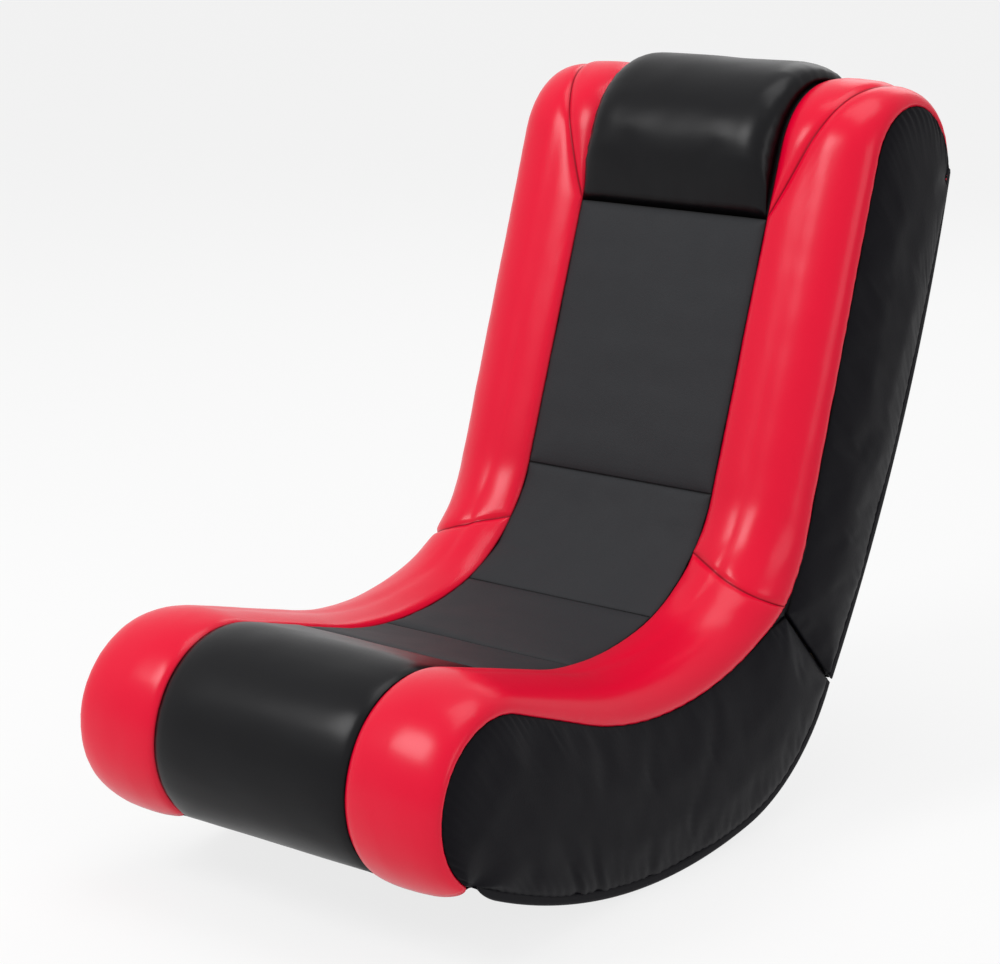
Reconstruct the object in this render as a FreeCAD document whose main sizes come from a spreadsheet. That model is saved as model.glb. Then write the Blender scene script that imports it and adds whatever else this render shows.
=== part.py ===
import FreeCAD
import Part
import Sketcher
import math
import os
import types

from FreeCAD import Placement, Rotation, Vector

# Folding gaming rocker chair: a padded back hinged on a curved rocking seat.
# Lengths are millimetres and angles are degrees.  +Z is up and the sitter faces -Y.
# Outlines are drawn from the fold hinge, which is raised to its real height at the end.

doc = FreeCAD.newDocument("gaming_rocker_chair")
sheet = doc.addObject("Spreadsheet::Sheet", "sizes")

DRIVING = {
    # Fold hinge and the split between the two sections
    "hinge_height": 202.0,
    "split_angle": 45.5,
    "split_gap": 5.0,
    # Widths, from the middle of the chair outwards
    "border_half": 206.0,
    "centre_half": 109.0,
    "bolster_roll": 56.0,
    "side_bulge": 4.0,
    "board_margin": 6.0,
    "valley_drop": 5.0,
    "turn_share": 0.72,
    # Front roll of the seat, at the crest of the bolsters
    "nose_reach": 430.0,
    "nose_drop": 54.0,
    "nose_round": 93.0,
    "nose_under_angle": 234.0,
    # Seat hollow
    "dip_reach": 190.0,
    "dip_depth": 10.0,
    "dip_round": 350.0,
    "crease_round": 172.0,
    # Back and its rolled top
    "back_angle": 71.0,
    "head_setback": 198.0,
    "head_height": 395.0,
    "head_round": 84.0,
    "head_end_angle": -10.0,
    # How far the side border lies inside the crest
    "nose_side_forward": 8.0,
    "nose_side_drop": 2.0,
    "nose_side_inset": 19.0,
    "dip_side_drop": 34.5,
    "dip_side_widen": 20.0,
    "crease_side_inset": 57.0,
    "back_side_steepen": 1.5,
    "head_side_back": 7.0,
    "head_side_drop": 3.0,
    "head_side_inset": 18.0,
    # Rocking base, measured at the outer edge of its welt
    "base_reach": 170.0,
    "base_round": 625.0,
    "base_rear_round": 200.0,
    "base_rear_start": 110.0,
    "base_front_round": 684.0,
    "base_front_start": 130.0,
    "base_tuck": 37.0,
    # Rear of the back
    "rear_round": 1560.0,
    "rear_reach": 121.0,
    "rear_seam_drop": 6.0,
    # Upholstery
    "cover_thick": 1.5,
    "seat_foam_thick": 80.0,
    "back_foam_thick": 21.0,
    "welt_height": 8.0,
    "welt_thick": 3.0,
    "cover_lift": 6.5,
    "side_edge_round": 4.0,
    "lip_share": 0.4,
    "fit": 0.3,
    # Seams across the middle strip, as heights on the back and reaches on the seat
    "head_seam_height": 353.0,
    "seat_mid_seam_reach": 209.0,
    "nose_seam_reach": 335.0,
    # Seams on both sides of the fold, as distances along the crest from the crease's ends
    "fold_front_margin": 22.0,
    "fold_rear_margin": 15.0,
    # Head cushion
    "cushion_setback": 194.0,
    "cushion_height": 393.0,
    "cushion_round": 101.5,
    "cushion_end_angle": 29.0,
    "cushion_front_angle": 172.0,
    "cushion_edge_drop": 9.0,
    "cushion_edge_width": 27.0,
    "cushion_wrap_share": 0.9,
    "cushion_seam_share": 0.02,
    # Frame of plywood and hardboard
    "seat_board_thick": 25.0,
    "back_board_thick": 6.0,
    "board_inset": 12.0,
    "back_board_rise": 2.0,
    "rail_thick": 22.0,
    "front_rail_thick": 56.0,
    "front_rail_tall": 74.0,
    "middle_rail_tall": 62.0,
    "hinge_rail_tall": 62.0,
    "hinge_rail_start": 9.0,
    "nose_block_long": 76.0,
    "back_rail_tall": 42.0,
    "back_rail_thick": 12.0,
    "top_rail_share": 0.14,
    "middle_rail_share": 0.52,
    "front_rail_reach": 400.0,
    "middle_rail_reach": 262.0,
    "base_panel_thick": 12.0,
    "rear_board_thick": 3.0,
    "window_inset": 28.0,
    # Elastic webbing
    "web_wide": 50.0,
    "web_thick": 2.0,
    "web_gap": 5.0,
    "seat_web_pitch": 70.0,
    "seat_web_last_reach": 103.0,
    "back_web_pitch": 78.0,
    # Steel butt hinges in the split
    "hinge_margin": 18.0,
    "hinge_wide": 80.0,
    "leaf_thick": 2.0,
    "leaf_tall": 48.0,
    "knuckle_round": 5.0,
    "pin_round": 2.5,
    "pin_fit": 0.15,
    "knuckle_fit": 0.4,
    "knuckle_gap": 6.0,
    "pin_head_round": 4.2,
    "pin_head_thick": 1.6,
    "screw_round": 2.0,
    "screw_head_round": 4.0,
    "screw_long": 18.0,
    "screw_pitch": 26.0,
    "screw_first_row": 21.5,
    "screw_second_row": 38.5,
    # Closing flap of the rear cover
    "flap_tall": 45.0,
    "flap_thick": 1.6,
    "tape_thick": 1.2,
    "tape_wide": 25.0,
}

# Widths that follow from the border's
FOLLOWING = {
    "crest_half": "=border_half - bolster_roll",
    "side_half": "=border_half + side_bulge",
    "board_half": "=border_half - board_margin",
}

cells = {alias: repr(value) for alias, value in DRIVING.items()}
cells.update(FOLLOWING)
for row, (alias, content) in enumerate(cells.items(), start=1):
    sheet.set("A%d" % row, alias)
    sheet.set("B%d" % row, content)
    sheet.setAlias("B%d" % row, alias)
doc.recompute()

S = types.SimpleNamespace(**{alias: float(sheet.get(alias)) for alias in cells})
parts = {}


def toward(angle, length=1.0):
    """A step in the side view, as a pair (y, z)."""
    return (length * math.cos(math.radians(angle)), length * math.sin(math.radians(angle)))


def plus(a, b):
    return (a[0] + b[0], a[1] + b[1])


class Run:
    """A straight stretch of an outline in the side view."""

    def __init__(self, start, end):
        self.start = start
        self.end = end

    def at(self, share):
        return (self.start[0] + (self.end[0] - self.start[0]) * share,
                self.start[1] + (self.end[1] - self.start[1]) * share)

    def stretch(self, first, last):
        return Run(self.at(first), self.at(last))

    def length(self):
        return math.dist(self.start, self.end)

    def backwards(self):
        return Run(self.end, self.start)

    def edge(self, x):
        return Part.LineSegment(Vector(x, *self.start), Vector(x, *self.end)).toShape()


class Bend:
    """A round stretch of an outline in the side view, swept from one angle to another."""

    def __init__(self, centre, radius, first_angle, last_angle):
        self.centre = centre
        self.radius = radius
        self.first_angle = first_angle
        self.last_angle = last_angle
        self.start = self.at(0.0)
        self.end = self.at(1.0)

    def angle(self, share):
        return self.first_angle + (self.last_angle - self.first_angle) * share

    def at(self, share):
        return plus(self.centre, toward(self.angle(share), self.radius))

    def stretch(self, first, last):
        return Bend(self.centre, self.radius, self.angle(first), self.angle(last))

    def length(self):
        return self.radius * abs(math.radians(self.last_angle - self.first_angle))

    def backwards(self):
        return Bend(self.centre, self.radius, self.last_angle, self.first_angle)

    def edge(self, x):
        return Part.Arc(Vector(x, *self.start), Vector(x, *self.at(0.5)), Vector(x, *self.end)).toShape()


NOSE, NOSE_RUN, DIP, CREASE, BACK_RUN, HEAD = range(6)


def pad_path(share, depth=0.0):
    """Padded face from under the nose to behind the head.

    share is 0 on the crest of the bolsters and 1 on the side border; depth is how far
    the path lies inside the padded face.
    """
    nose = (-S.nose_reach - S.nose_side_forward * share, -S.nose_drop - S.nose_side_drop * share)
    nose_round = S.nose_round - S.nose_side_inset * share - depth
    dip_round = S.dip_round + S.dip_side_widen * share
    dip = (-S.dip_reach, dip_round - S.dip_depth - S.dip_side_drop * share)
    crease_round = S.crease_round - S.crease_side_inset * share
    slope = S.back_angle + S.back_side_steepen * share
    head = (S.head_setback + S.head_side_back * share, S.head_height - S.head_side_drop * share)
    head_round = S.head_round - S.head_side_inset * share

    outward = toward(slope + 90.0)
    offset = (head[0] + outward[0] * (head_round + crease_round) - dip[0],
              head[1] + outward[1] * (head_round + crease_round) - dip[1])
    down = toward(slope + 180.0)
    along = offset[0] * down[0] + offset[1] * down[1]
    spare = offset[0] ** 2 + offset[1] ** 2 - (dip_round - crease_round) ** 2
    travel = math.sqrt(along ** 2 - spare) - along
    crease = plus(dip, plus(offset, (down[0] * travel, down[1] * travel)))

    between = math.degrees(math.atan2(dip[1] - nose[1], dip[0] - nose[0]))
    reach = math.hypot(dip[0] - nose[0], dip[1] - nose[1])
    nose_slope = between - math.degrees(math.asin((nose_round + depth + dip_round) / reach))
    crease_slope = math.degrees(math.atan2(crease[0] - dip[0], dip[1] - crease[1]))

    roll = Bend(nose, nose_round, S.nose_under_angle, 90.0 + nose_slope)
    hollow = Bend(dip, dip_round + depth, 270.0 + nose_slope, 270.0 + crease_slope)
    fold = Bend(crease, crease_round + depth, 270.0 + crease_slope, 270.0 + slope)
    top = Bend(head, head_round - depth, 90.0 + slope, S.head_end_angle)
    return [roll, Run(roll.end, hollow.start), hollow, fold, Run(fold.end, top.start), top]


def span(path, first, last):
    """The stretch of a path between two stations, each a piece's number plus a share of it."""
    pieces = []
    for number, piece in enumerate(path):
        low = max(0.0, first - number)
        high = min(1.0, last - number)
        if high - low > 1e-6:
            pieces.append(piece.stretch(low, high))
    return pieces


def backwards(pieces):
    return [piece.backwards() for piece in reversed(pieces)]


def closed(pieces, x):
    """One closed wire at x, with straight runs where two pieces don't meet."""
    edges = []
    for piece, following in zip(pieces, pieces[1:] + pieces[:1]):
        edges.append(piece.edge(x))
        if math.dist(piece.end, following.start) > 1e-4:
            edges.append(Run(piece.end, following.start).edge(x))
    return Part.Wire(edges)


def loft(wires, ruled=True):
    return Part.makeLoft(wires, True, ruled)


def mirrored(shape):
    return shape.mirror(Vector(0, 0, 0), Vector(1, 0, 0))


def raise_part(obj):
    """Carry an object drawn from the hinge to its place over the floor."""
    obj.setExpression(".Placement.Base.y", "%.6f mm" % (-chair_middle()))
    obj.setExpression(".Placement.Base.z", "sizes.hinge_height * 1 mm")


def chair_middle():
    """Middle of the chair from front to rear, measured from the hinge."""
    front = -S.nose_reach - S.nose_round
    rear = S.head_setback + S.head_round
    cushion_rear = S.cushion_setback + S.cushion_round * math.cos(math.radians(S.cushion_end_angle))
    return (front + max(rear, cushion_rear)) / 2


def keep(name, shape):
    """File a free-form solid under its own name."""
    obj = doc.addObject("Part::Feature", name)
    obj.Label = name
    obj.Shape = shape
    raise_part(obj)
    parts[name] = obj
    return obj


def keep_pair(name, shape):
    keep(name + "_left", shape)
    keep(name + "_right", mirrored(shape))


# Cross-section of the bolster: flat to the crest, then a quarter of an ellipse to the border

SEAT_BAY = S.board_half - S.seat_board_thick
BACK_BAY = S.board_half - S.back_board_thick
SEAT_EDGE = SEAT_BAY - S.fit
BACK_EDGE = BACK_BAY - S.fit
BOARD_EDGE = S.board_half - S.fit


def crest_share(x):
    """How far the padded face has dropped at x, from 0 on the crest to 1 on the border."""
    valley = S.valley_drop / S.dip_side_drop
    if x <= S.centre_half:
        return valley
    if x <= S.crest_half:
        return valley * ((S.crest_half - x) / (S.crest_half - S.centre_half)) ** 2
    across = min(1.0, (x - S.crest_half) / (S.border_half - S.crest_half))
    return 1.0 - math.sqrt(1.0 - across ** 2)


def stations_across():
    """Places across one bolster, on the faces of the boards and closer together at the border."""
    return [S.centre_half, (S.centre_half + S.crest_half) / 2, S.crest_half,
            (S.crest_half + SEAT_EDGE) / 2, SEAT_EDGE, BACK_EDGE, BOARD_EDGE,
            BOARD_EDGE + (S.border_half - BOARD_EDGE) * S.turn_share, S.border_half]


# Stations of the seams along the padded face


def station_at(path, axis, target, first, last):
    """Station between first and last where the path's y (axis 0) or z (axis 1) meets a target."""
    def value(station):
        number = min(int(station), len(path) - 1)
        return path[number].at(station - number)[axis] - target
    low, high = first, last
    rising = value(high) > value(low)
    for _ in range(50):
        middle = (low + high) / 2
        if (value(middle) > 0) == rising:
            high = middle
        else:
            low = middle
    return (low + high) / 2


centre_path = pad_path(crest_share(0.0))
NOSE_SEAM = station_at(centre_path, 0, -S.nose_seam_reach, NOSE_RUN, CREASE)
MID_SEAM = station_at(centre_path, 0, -S.seat_mid_seam_reach, NOSE_RUN, CREASE)
HEAD_SEAM = station_at(centre_path, 1, S.head_seam_height, BACK_RUN, HEAD)
PATH_END = HEAD + 1.0
crest_path = pad_path(0.0)
FOLD_FRONT = CREASE - S.fold_front_margin / crest_path[DIP].length()
FOLD_REAR = BACK_RUN + S.fold_rear_margin / crest_path[BACK_RUN].length()


# Depths of the layers, counted inwards from the welt's outer edge or from the padded face

END_FACE = S.split_gap / 2
SKIN_DEPTH = S.cover_lift + S.cover_thick
BASE_TOP = SKIN_DEPTH + S.fit + S.base_panel_thick
REAR_TOP = SKIN_DEPTH + S.fit + S.rear_board_thick
SIDE_INSET = S.cover_thick + S.fit
SEAT_FOAM_DEPTH = S.cover_thick + S.seat_foam_thick
BACK_FOAM_DEPTH = S.cover_thick + S.back_foam_thick
VALLEY = S.valley_drop / S.dip_side_drop


# Lower and rear outlines, both measured at the outer edge of the welt


def circle_meets_line(centre, radius, point, angle):
    """Where a line first leaves a circle, going along its angle."""
    step = toward(angle)
    away = (point[0] - centre[0], point[1] - centre[1])
    along = away[0] * step[0] + away[1] * step[1]
    spare = away[0] ** 2 + away[1] ** 2 - radius ** 2
    travel = math.sqrt(along ** 2 - spare) - along
    return plus(point, (step[0] * travel, step[1] * travel))


def lines_meet(a, angle_a, b, angle_b):
    u = toward(angle_a)
    v = toward(angle_b)
    cross = u[0] * v[1] - u[1] * v[0]
    travel = ((b[0] - a[0]) * v[1] - (b[1] - a[1]) * v[0]) / cross
    return plus(a, (u[0] * travel, u[1] * travel))


def angle_of(centre, point):
    return math.degrees(math.atan2(point[1] - centre[1], point[0] - centre[0])) % 360.0


def split_point(offset):
    """A point on the seat's (offset < 0) or the back's (offset > 0) end plane."""
    return toward(90.0 - S.split_angle, offset)


def base_path(depth, end_offset):
    """Rocking curve from the split at the rear to its end under the nose."""
    middle = (-S.base_reach, -S.hinge_height + S.base_round)
    rear_angle = 270.0 + math.degrees(math.asin(S.base_rear_start / S.base_round))
    front_angle = 270.0 - math.degrees(math.asin(S.base_front_start / S.base_round))
    rear = plus(middle, toward(rear_angle, S.base_round - S.base_rear_round))
    front = plus(middle, toward(front_angle, S.base_round - S.base_front_round))
    shoulder = circle_meets_line(rear, S.base_rear_round - depth, split_point(end_offset), -S.split_angle)
    tip_share = (-S.nose_reach - S.base_tuck - front[0]) / (S.base_front_round - depth)
    tip_angle = 360.0 - math.degrees(math.acos(tip_share))
    return [Bend(rear, S.base_rear_round - depth, angle_of(rear, shoulder), rear_angle),
            Bend(middle, S.base_round - depth, rear_angle, front_angle),
            Bend(front, S.base_front_round - depth, front_angle, tip_angle)]


def rear_centre():
    top = pad_path(0.0)[HEAD].end
    foot = plus(split_point(S.split_gap / 2), toward(-S.split_angle, S.rear_reach))
    chord = math.dist(top, foot)
    middle = ((top[0] + foot[0]) / 2, (top[1] + foot[1]) / 2)
    inward = angle_of(foot, top) + 90.0
    return plus(middle, toward(inward, math.sqrt(S.rear_round ** 2 - (chord / 2) ** 2)))


def rear_path(depth, end_offset, drop=0.0):
    """Rear curve from the top of the back, or a drop below it, down to the split."""
    centre = rear_centre()
    top_angle = angle_of(centre, pad_path(0.0)[HEAD].end) - math.degrees(drop / S.rear_round)
    foot = circle_meets_line(centre, S.rear_round - depth, split_point(end_offset), -S.split_angle)
    foot_angle = angle_of(centre, foot)
    if top_angle < 180.0 < foot_angle:
        foot_angle -= 360.0
    return [Bend(centre, S.rear_round - depth, top_angle, foot_angle)]


# Outlines of the two sections, seen from the side


def seat_outline(inset, base_inset, split_inset=0.0, crease_share=0.0):
    """The seat's outline, which may follow the crease's upper end towards the hinge."""
    border = span(pad_path(1.0, inset), NOSE, CREASE + crease_share)
    split = split_point(-END_FACE - split_inset)
    lip = angle_of(border[-1].end, (0.0, 0.0))
    corner = lines_meet(border[-1].end, lip, split, -S.split_angle)
    base = base_path(base_inset, -END_FACE - split_inset)
    return border + [Run(border[-1].end, corner), Run(corner, base[0].start)] + base


def back_outline(inset, rear_inset, split_inset=0.0, crease_share=0.0):
    """The back's outline, which may follow the crease's lower end down towards the hinge."""
    border = span(pad_path(1.0, inset), BACK_RUN - crease_share, PATH_END)
    split = split_point(END_FACE + split_inset)
    lip = angle_of(border[0].start, (0.0, 0.0))
    corner = lines_meet(border[0].start, lip, split, -S.split_angle)
    rear = rear_path(rear_inset, END_FACE + split_inset)
    return border + rear + [Run(rear[-1].end, corner)]


# Flat pieces: each is a sketch of its outline in the side view, padded across the chair


def sketch_outline(body, name, pieces, radii):
    """A closed sketch.  radii maps an arc's place in the outline to its radius in the sheet."""
    sketch = body.newObject("Sketcher::SketchObject", name)
    side_plane = [f for f in body.Origin.OriginFeatures if f.Role == "YZ_Plane"][0]
    sketch.AttachmentSupport = (side_plane, [""])
    sketch.MapMode = "FlatFace"
    ends = []
    for place, piece in enumerate(pieces):
        if isinstance(piece, Bend):
            low = min(piece.first_angle, piece.last_angle)
            high = max(piece.first_angle, piece.last_angle)
            circle = Part.Circle(Vector(*piece.centre, 0), Vector(0, 0, 1), piece.radius)
            arc = sketch.addGeometry(Part.ArcOfCircle(circle, math.radians(low), math.radians(high)))
            forwards = piece.last_angle > piece.first_angle
            ends.append((arc, 1, arc, 2) if forwards else (arc, 2, arc, 1))
            if place in radii:
                number = sketch.addConstraint(Sketcher.Constraint("Radius", arc, piece.radius))
                sketch.setExpression("Constraints[%d]" % number, "(%s) * 1 mm" % radii[place])
        else:
            line = sketch.addGeometry(Part.LineSegment(Vector(*piece.start, 0), Vector(*piece.end, 0)))
            ends.append((line, 1, line, 2))
        following = pieces[(place + 1) % len(pieces)]
        if math.dist(piece.end, following.start) > 1e-4:
            bridge = Part.LineSegment(Vector(*piece.end, 0), Vector(*following.start, 0))
            line = sketch.addGeometry(bridge)
            ends.append((line, 1, line, 2))
    for here, there in zip(ends, ends[1:] + ends[:1]):
        sketch.addConstraint(Sketcher.Constraint("Coincident", here[2], here[3], there[0], there[1]))
    return sketch


def padded_plate(name, pieces, radii, low_x, width, window=None):
    """A plate from x = low_x, as thick as the width, which is an expression of the sheet."""
    body = doc.addObject("PartDesign::Body", name)
    body.Label = name
    sketch = sketch_outline(body, name + "_outline", pieces, radii)
    sketch.AttachmentOffset = Placement(Vector(0, 0, low_x), Rotation())
    pad = body.newObject("PartDesign::Pad", name + "_pad")
    pad.Profile = sketch
    pad.setExpression("Length", "(%s) * 1 mm" % width)
    doc.recompute()
    if window:
        solid = body.Shape.Volume
        opening = sketch_outline(body, name + "_window", window, {})
        opening.AttachmentOffset = Placement(Vector(0, 0, low_x), Rotation())
        pocket = body.newObject("PartDesign::Pocket", name + "_pocket")
        pocket.Profile = opening
        pocket.Type = "ThroughAll"
        pocket.Reversed = True
        doc.recompute()
        if body.Shape.Volume >= solid:
            raise RuntimeError(name + ": the window cuts nothing")
    raise_part(body)
    parts[name] = body
    return body


def layer(path_outer, path_inner):
    """The outline of a sheet that lies between two paths."""
    return path_outer + backwards(path_inner)


def base_radii(outer, inner):
    """Radii of a layer over the rocking curve, whose faces lie at two depths of the sheet."""
    arcs = ["sizes.base_rear_round", "sizes.base_round", "sizes.base_front_round"]
    faces = [(arc, outer) for arc in arcs] + [(arc, inner) for arc in reversed(arcs)]
    places = [0, 1, 2, 3, 4, 5]
    return {place: "%s - (%s)" % face for place, face in zip(places, faces)}


def rear_radii(outer, inner):
    return {0: "sizes.rear_round - (%s)" % outer, 1: "sizes.rear_round - (%s)" % inner}


SKIN_CELLS = "sizes.cover_lift + sizes.cover_thick"
BASE_TOP_CELLS = SKIN_CELLS + " + sizes.fit + sizes.base_panel_thick"
REAR_TOP_CELLS = SKIN_CELLS + " + sizes.fit + sizes.rear_board_thick"

# Side boards: plywood cheeks that every rail is fixed between

seat_board = seat_outline(S.board_inset, BASE_TOP + S.fit)
seat_board_radii = {
    0: "sizes.nose_round - sizes.nose_side_inset - sizes.board_inset",
    2: "sizes.dip_round + sizes.dip_side_widen + sizes.board_inset",
    5: "sizes.base_rear_round - (%s + sizes.fit)" % BASE_TOP_CELLS,
    6: "sizes.base_round - (%s + sizes.fit)" % BASE_TOP_CELLS,
    7: "sizes.base_front_round - (%s + sizes.fit)" % BASE_TOP_CELLS,
}
back_board = back_outline(-S.back_board_rise, REAR_TOP + S.fit)
back_board_radii = {
    1: "sizes.head_round - sizes.head_side_inset + sizes.back_board_rise",
    2: "sizes.rear_round - (%s + sizes.fit)" % REAR_TOP_CELLS,
}
back_window = back_outline(S.window_inset - S.back_board_rise, REAR_TOP + S.window_inset, S.window_inset)
for side, seat_x, back_x in (("left", SEAT_BAY, BACK_BAY), ("right", -S.board_half, -S.board_half)):
    padded_plate("seat_side_board_" + side, seat_board, seat_board_radii, seat_x,
                 "sizes.seat_board_thick")
    padded_plate("back_side_board_" + side, back_board, back_board_radii, back_x,
                 "sizes.back_board_thick", back_window)

# Base panel: bent plywood under the boards, with the base cover drawn over it

base_layer = layer(base_path(SKIN_DEPTH + S.fit, -END_FACE), base_path(BASE_TOP, -END_FACE))
padded_plate("base_panel", base_layer, base_radii(SKIN_CELLS + " + sizes.fit", BASE_TOP_CELLS),
             -S.board_half + S.fit, "2 * (sizes.board_half - sizes.fit)")
base_skin = layer(base_path(S.cover_lift, -END_FACE), base_path(SKIN_DEPTH, -END_FACE))
skin_half = S.border_half - S.welt_thick - S.fit
padded_plate("base_cover", base_skin, base_radii("sizes.cover_lift", SKIN_CELLS), -skin_half,
             "2 * (sizes.border_half - sizes.welt_thick - sizes.fit)")

# Rear board: thin hardboard that closes the back, and its cover

rear_layer = layer(rear_path(SKIN_DEPTH + S.fit, END_FACE, S.rear_seam_drop),
                   rear_path(REAR_TOP, END_FACE, S.rear_seam_drop))
padded_plate("rear_board", rear_layer, rear_radii(SKIN_CELLS + " + sizes.fit", REAR_TOP_CELLS),
             -S.board_half + S.fit, "2 * (sizes.board_half - sizes.fit)")
rear_skin = layer(rear_path(S.cover_lift, END_FACE, S.rear_seam_drop),
                  rear_path(SKIN_DEPTH, END_FACE, S.rear_seam_drop))
padded_plate("rear_cover", rear_skin, rear_radii("sizes.cover_lift", SKIN_CELLS), -skin_half,
             "2 * (sizes.border_half - sizes.welt_thick - sizes.fit)")

# Welts: stiff sewn rims along both side edges, which the chair rocks on

base_welt = layer(base_path(0.0, -END_FACE), base_path(S.welt_height, -END_FACE))
rear_welt = layer(rear_path(0.0, END_FACE), rear_path(S.welt_height, END_FACE))
for side, welt_x in (("left", S.border_half - S.welt_thick), ("right", -S.border_half)):
    padded_plate("base_welt_" + side, base_welt, base_radii("0", "sizes.welt_height"), welt_x,
                 "sizes.welt_thick")
    padded_plate("rear_welt_" + side, rear_welt, rear_radii("0", "sizes.welt_height"), welt_x,
                 "sizes.welt_thick")

# Middle strip: five panels of leathercloth, sewn edge to edge from the nose to the head cushion

middle_outer = pad_path(VALLEY)
middle_inner = pad_path(VALLEY, S.cover_thick)
for name, first, last in (
        ("nose_panel", NOSE, NOSE_SEAM),
        ("seat_front_panel", NOSE_SEAM, MID_SEAM),
        ("seat_rear_panel", MID_SEAM, FOLD_FRONT),
        ("crease_panel", FOLD_FRONT, FOLD_REAR),
        ("back_panel", FOLD_REAR, HEAD_SEAM)):
    strip = layer(span(middle_outer, first, last), span(middle_inner, first, last))
    padded_plate(name, strip, {}, -S.centre_half, "2 * sizes.centre_half")

# Bolster covers: rolled strips beside the middle, lofted across from the valley to the border


def bolster(first, last):
    wires = []
    for x in stations_across():
        outer = span(pad_path(crest_share(x)), first, last)
        inner = span(pad_path(crest_share(x), S.cover_thick), first, last)
        wires.append(closed(layer(outer, inner), x))
    return loft(wires)


keep_pair("seat_bolster_cover", bolster(NOSE, FOLD_FRONT))
keep_pair("crease_bolster_cover", bolster(FOLD_FRONT, FOLD_REAR))
keep_pair("back_bolster_cover", bolster(FOLD_REAR, HEAD))
keep_pair("head_bolster_cover", bolster(HEAD, PATH_END))

# Side covers: skins over a soft wadding on the outside of the boards, with a rounded edge

WELT_TOP = S.welt_height + S.fit


def side_pad(outline, depth, share):
    """The padded side, or what lies at a depth inside its cover."""
    wires = []
    for x, inset in ((S.board_half, 0.0), (S.border_half - depth, 0.0),
                     (S.side_half - depth, S.side_edge_round)):
        pieces = outline(SIDE_INSET + depth + inset, WELT_TOP + depth + inset, depth + inset, share)
        wires.append(closed(pieces, x))
    return loft(wires)


for section, outline, share in (("seat", seat_outline, 0.0), ("back", back_outline, S.lip_share)):
    wadding = side_pad(outline, S.cover_thick, share)
    keep_pair(section + "_side_cover", side_pad(outline, 0.0, share).cut(wadding))
    keep_pair(section + "_side_wadding", wadding)

# Seat foam: a thick pad over the webbing, with a solid roll at the nose that the front rail carries


def base_height(depth, y):
    """Height of the rocking curve's layer at a place in front of the middle arc."""
    front = base_path(depth, -END_FACE)[-1]
    return front.centre[1] - math.sqrt(front.radius ** 2 - (y - front.centre[0]) ** 2)


front_rail_front = -S.front_rail_reach - S.front_rail_thick / 2
front_rail_foot = base_height(BASE_TOP + S.fit, front_rail_front)
front_rail_top = front_rail_foot + S.front_rail_tall
hinge_rail_corner = plus(split_point(-END_FACE - S.rail_thick - S.fit),
                         toward(-S.split_angle, S.hinge_rail_start))
knuckle_room = S.knuckle_round + S.knuckle_fit + S.knuckle_gap


def foam_nose(station_path):
    """From the pad's inner face round the front rail to the end of the base panel."""
    wall = front_rail_front + S.nose_block_long
    station = station_at(station_path, 0, wall, NOSE_RUN, CREASE)
    top = station_path[int(station)].at(station - int(station))
    tip = base_path(BASE_TOP + S.fit, -END_FACE)[-1].end
    shelf = front_rail_top + S.fit
    front = front_rail_front - S.fit
    foot = base_height(BASE_TOP + S.fit, front)
    return station, [Run(top, (wall, shelf)), Run((wall, shelf), (front, shelf)),
                     Run((front, shelf), (front, foot)), Run((front, foot), plus(tip, (-S.fit, 0.0)))]


def seat_foam_wire(x, share, inner, rear):
    outer = span(pad_path(share, S.cover_thick), NOSE, FOLD_FRONT)
    lip = outer[-1].end
    near_hinge = (-knuckle_room, lip[1] * knuckle_room / -lip[0])
    station, nose = foam_nose(inner)
    under = backwards(span(inner, station, CREASE))
    return closed(outer + [Run(lip, near_hinge), Run(near_hinge, rear), Run(rear, under[0].start)]
                  + under + nose, x)


def across(edge):
    """Places across the pad from its right edge to its left."""
    half = [x for x in stations_across() if x < edge + S.fit / 2]
    return [-x for x in reversed(half)] + half


def over_edge(edge):
    """Places across a board's edge, from the bay to the side cover."""
    return [x for x in stations_across() if edge - S.fit / 2 < x < S.board_half]


def seat_foam():
    inner = pad_path(0.0, SEAT_FOAM_DEPTH)
    middle = loft([seat_foam_wire(x, crest_share(abs(x)), inner, hinge_rail_corner)
                   for x in across(SEAT_EDGE)])
    over_board = pad_path(1.0, S.board_inset - S.fit)
    edge_wires = []
    for x in over_edge(SEAT_EDGE):
        outer = span(pad_path(crest_share(x), S.cover_thick), NOSE, FOLD_FRONT)
        lip = outer[-1].end
        near_hinge = (-knuckle_room, lip[1] * knuckle_room / -lip[0])
        under = backwards(span(over_board, NOSE, CREASE))
        edge_wires.append(closed(outer + [Run(lip, near_hinge), Run(near_hinge, under[0].start)]
                                 + under, x))
    edge = loft(edge_wires)
    return middle.fuse([edge, mirrored(edge)]).removeSplitter()


keep("seat_foam", seat_foam())


def back_foam():
    inner = pad_path(0.0, BACK_FOAM_DEPTH)
    wires = []
    for x in across(BACK_EDGE):
        outer = span(pad_path(crest_share(abs(x)), S.cover_thick), FOLD_REAR, PATH_END)
        under = backwards(span(inner, BACK_RUN, PATH_END))
        wires.append(closed(outer + under, x))
    middle = loft(wires)
    over_board = pad_path(1.0, -S.back_board_rise - S.fit)
    edge_wires = []
    for x in over_edge(BACK_EDGE):
        outer = span(pad_path(crest_share(x), S.cover_thick), FOLD_REAR, PATH_END)
        under = backwards(span(over_board, BACK_RUN, PATH_END))
        edge_wires.append(closed(outer + under, x))
    edge = loft(edge_wires)
    return middle.fuse([edge, mirrored(edge)]).removeSplitter()


keep("back_foam", back_foam())

# Crease cushion: the soft wedge over the hinge, which is crushed as the chair folds


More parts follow.
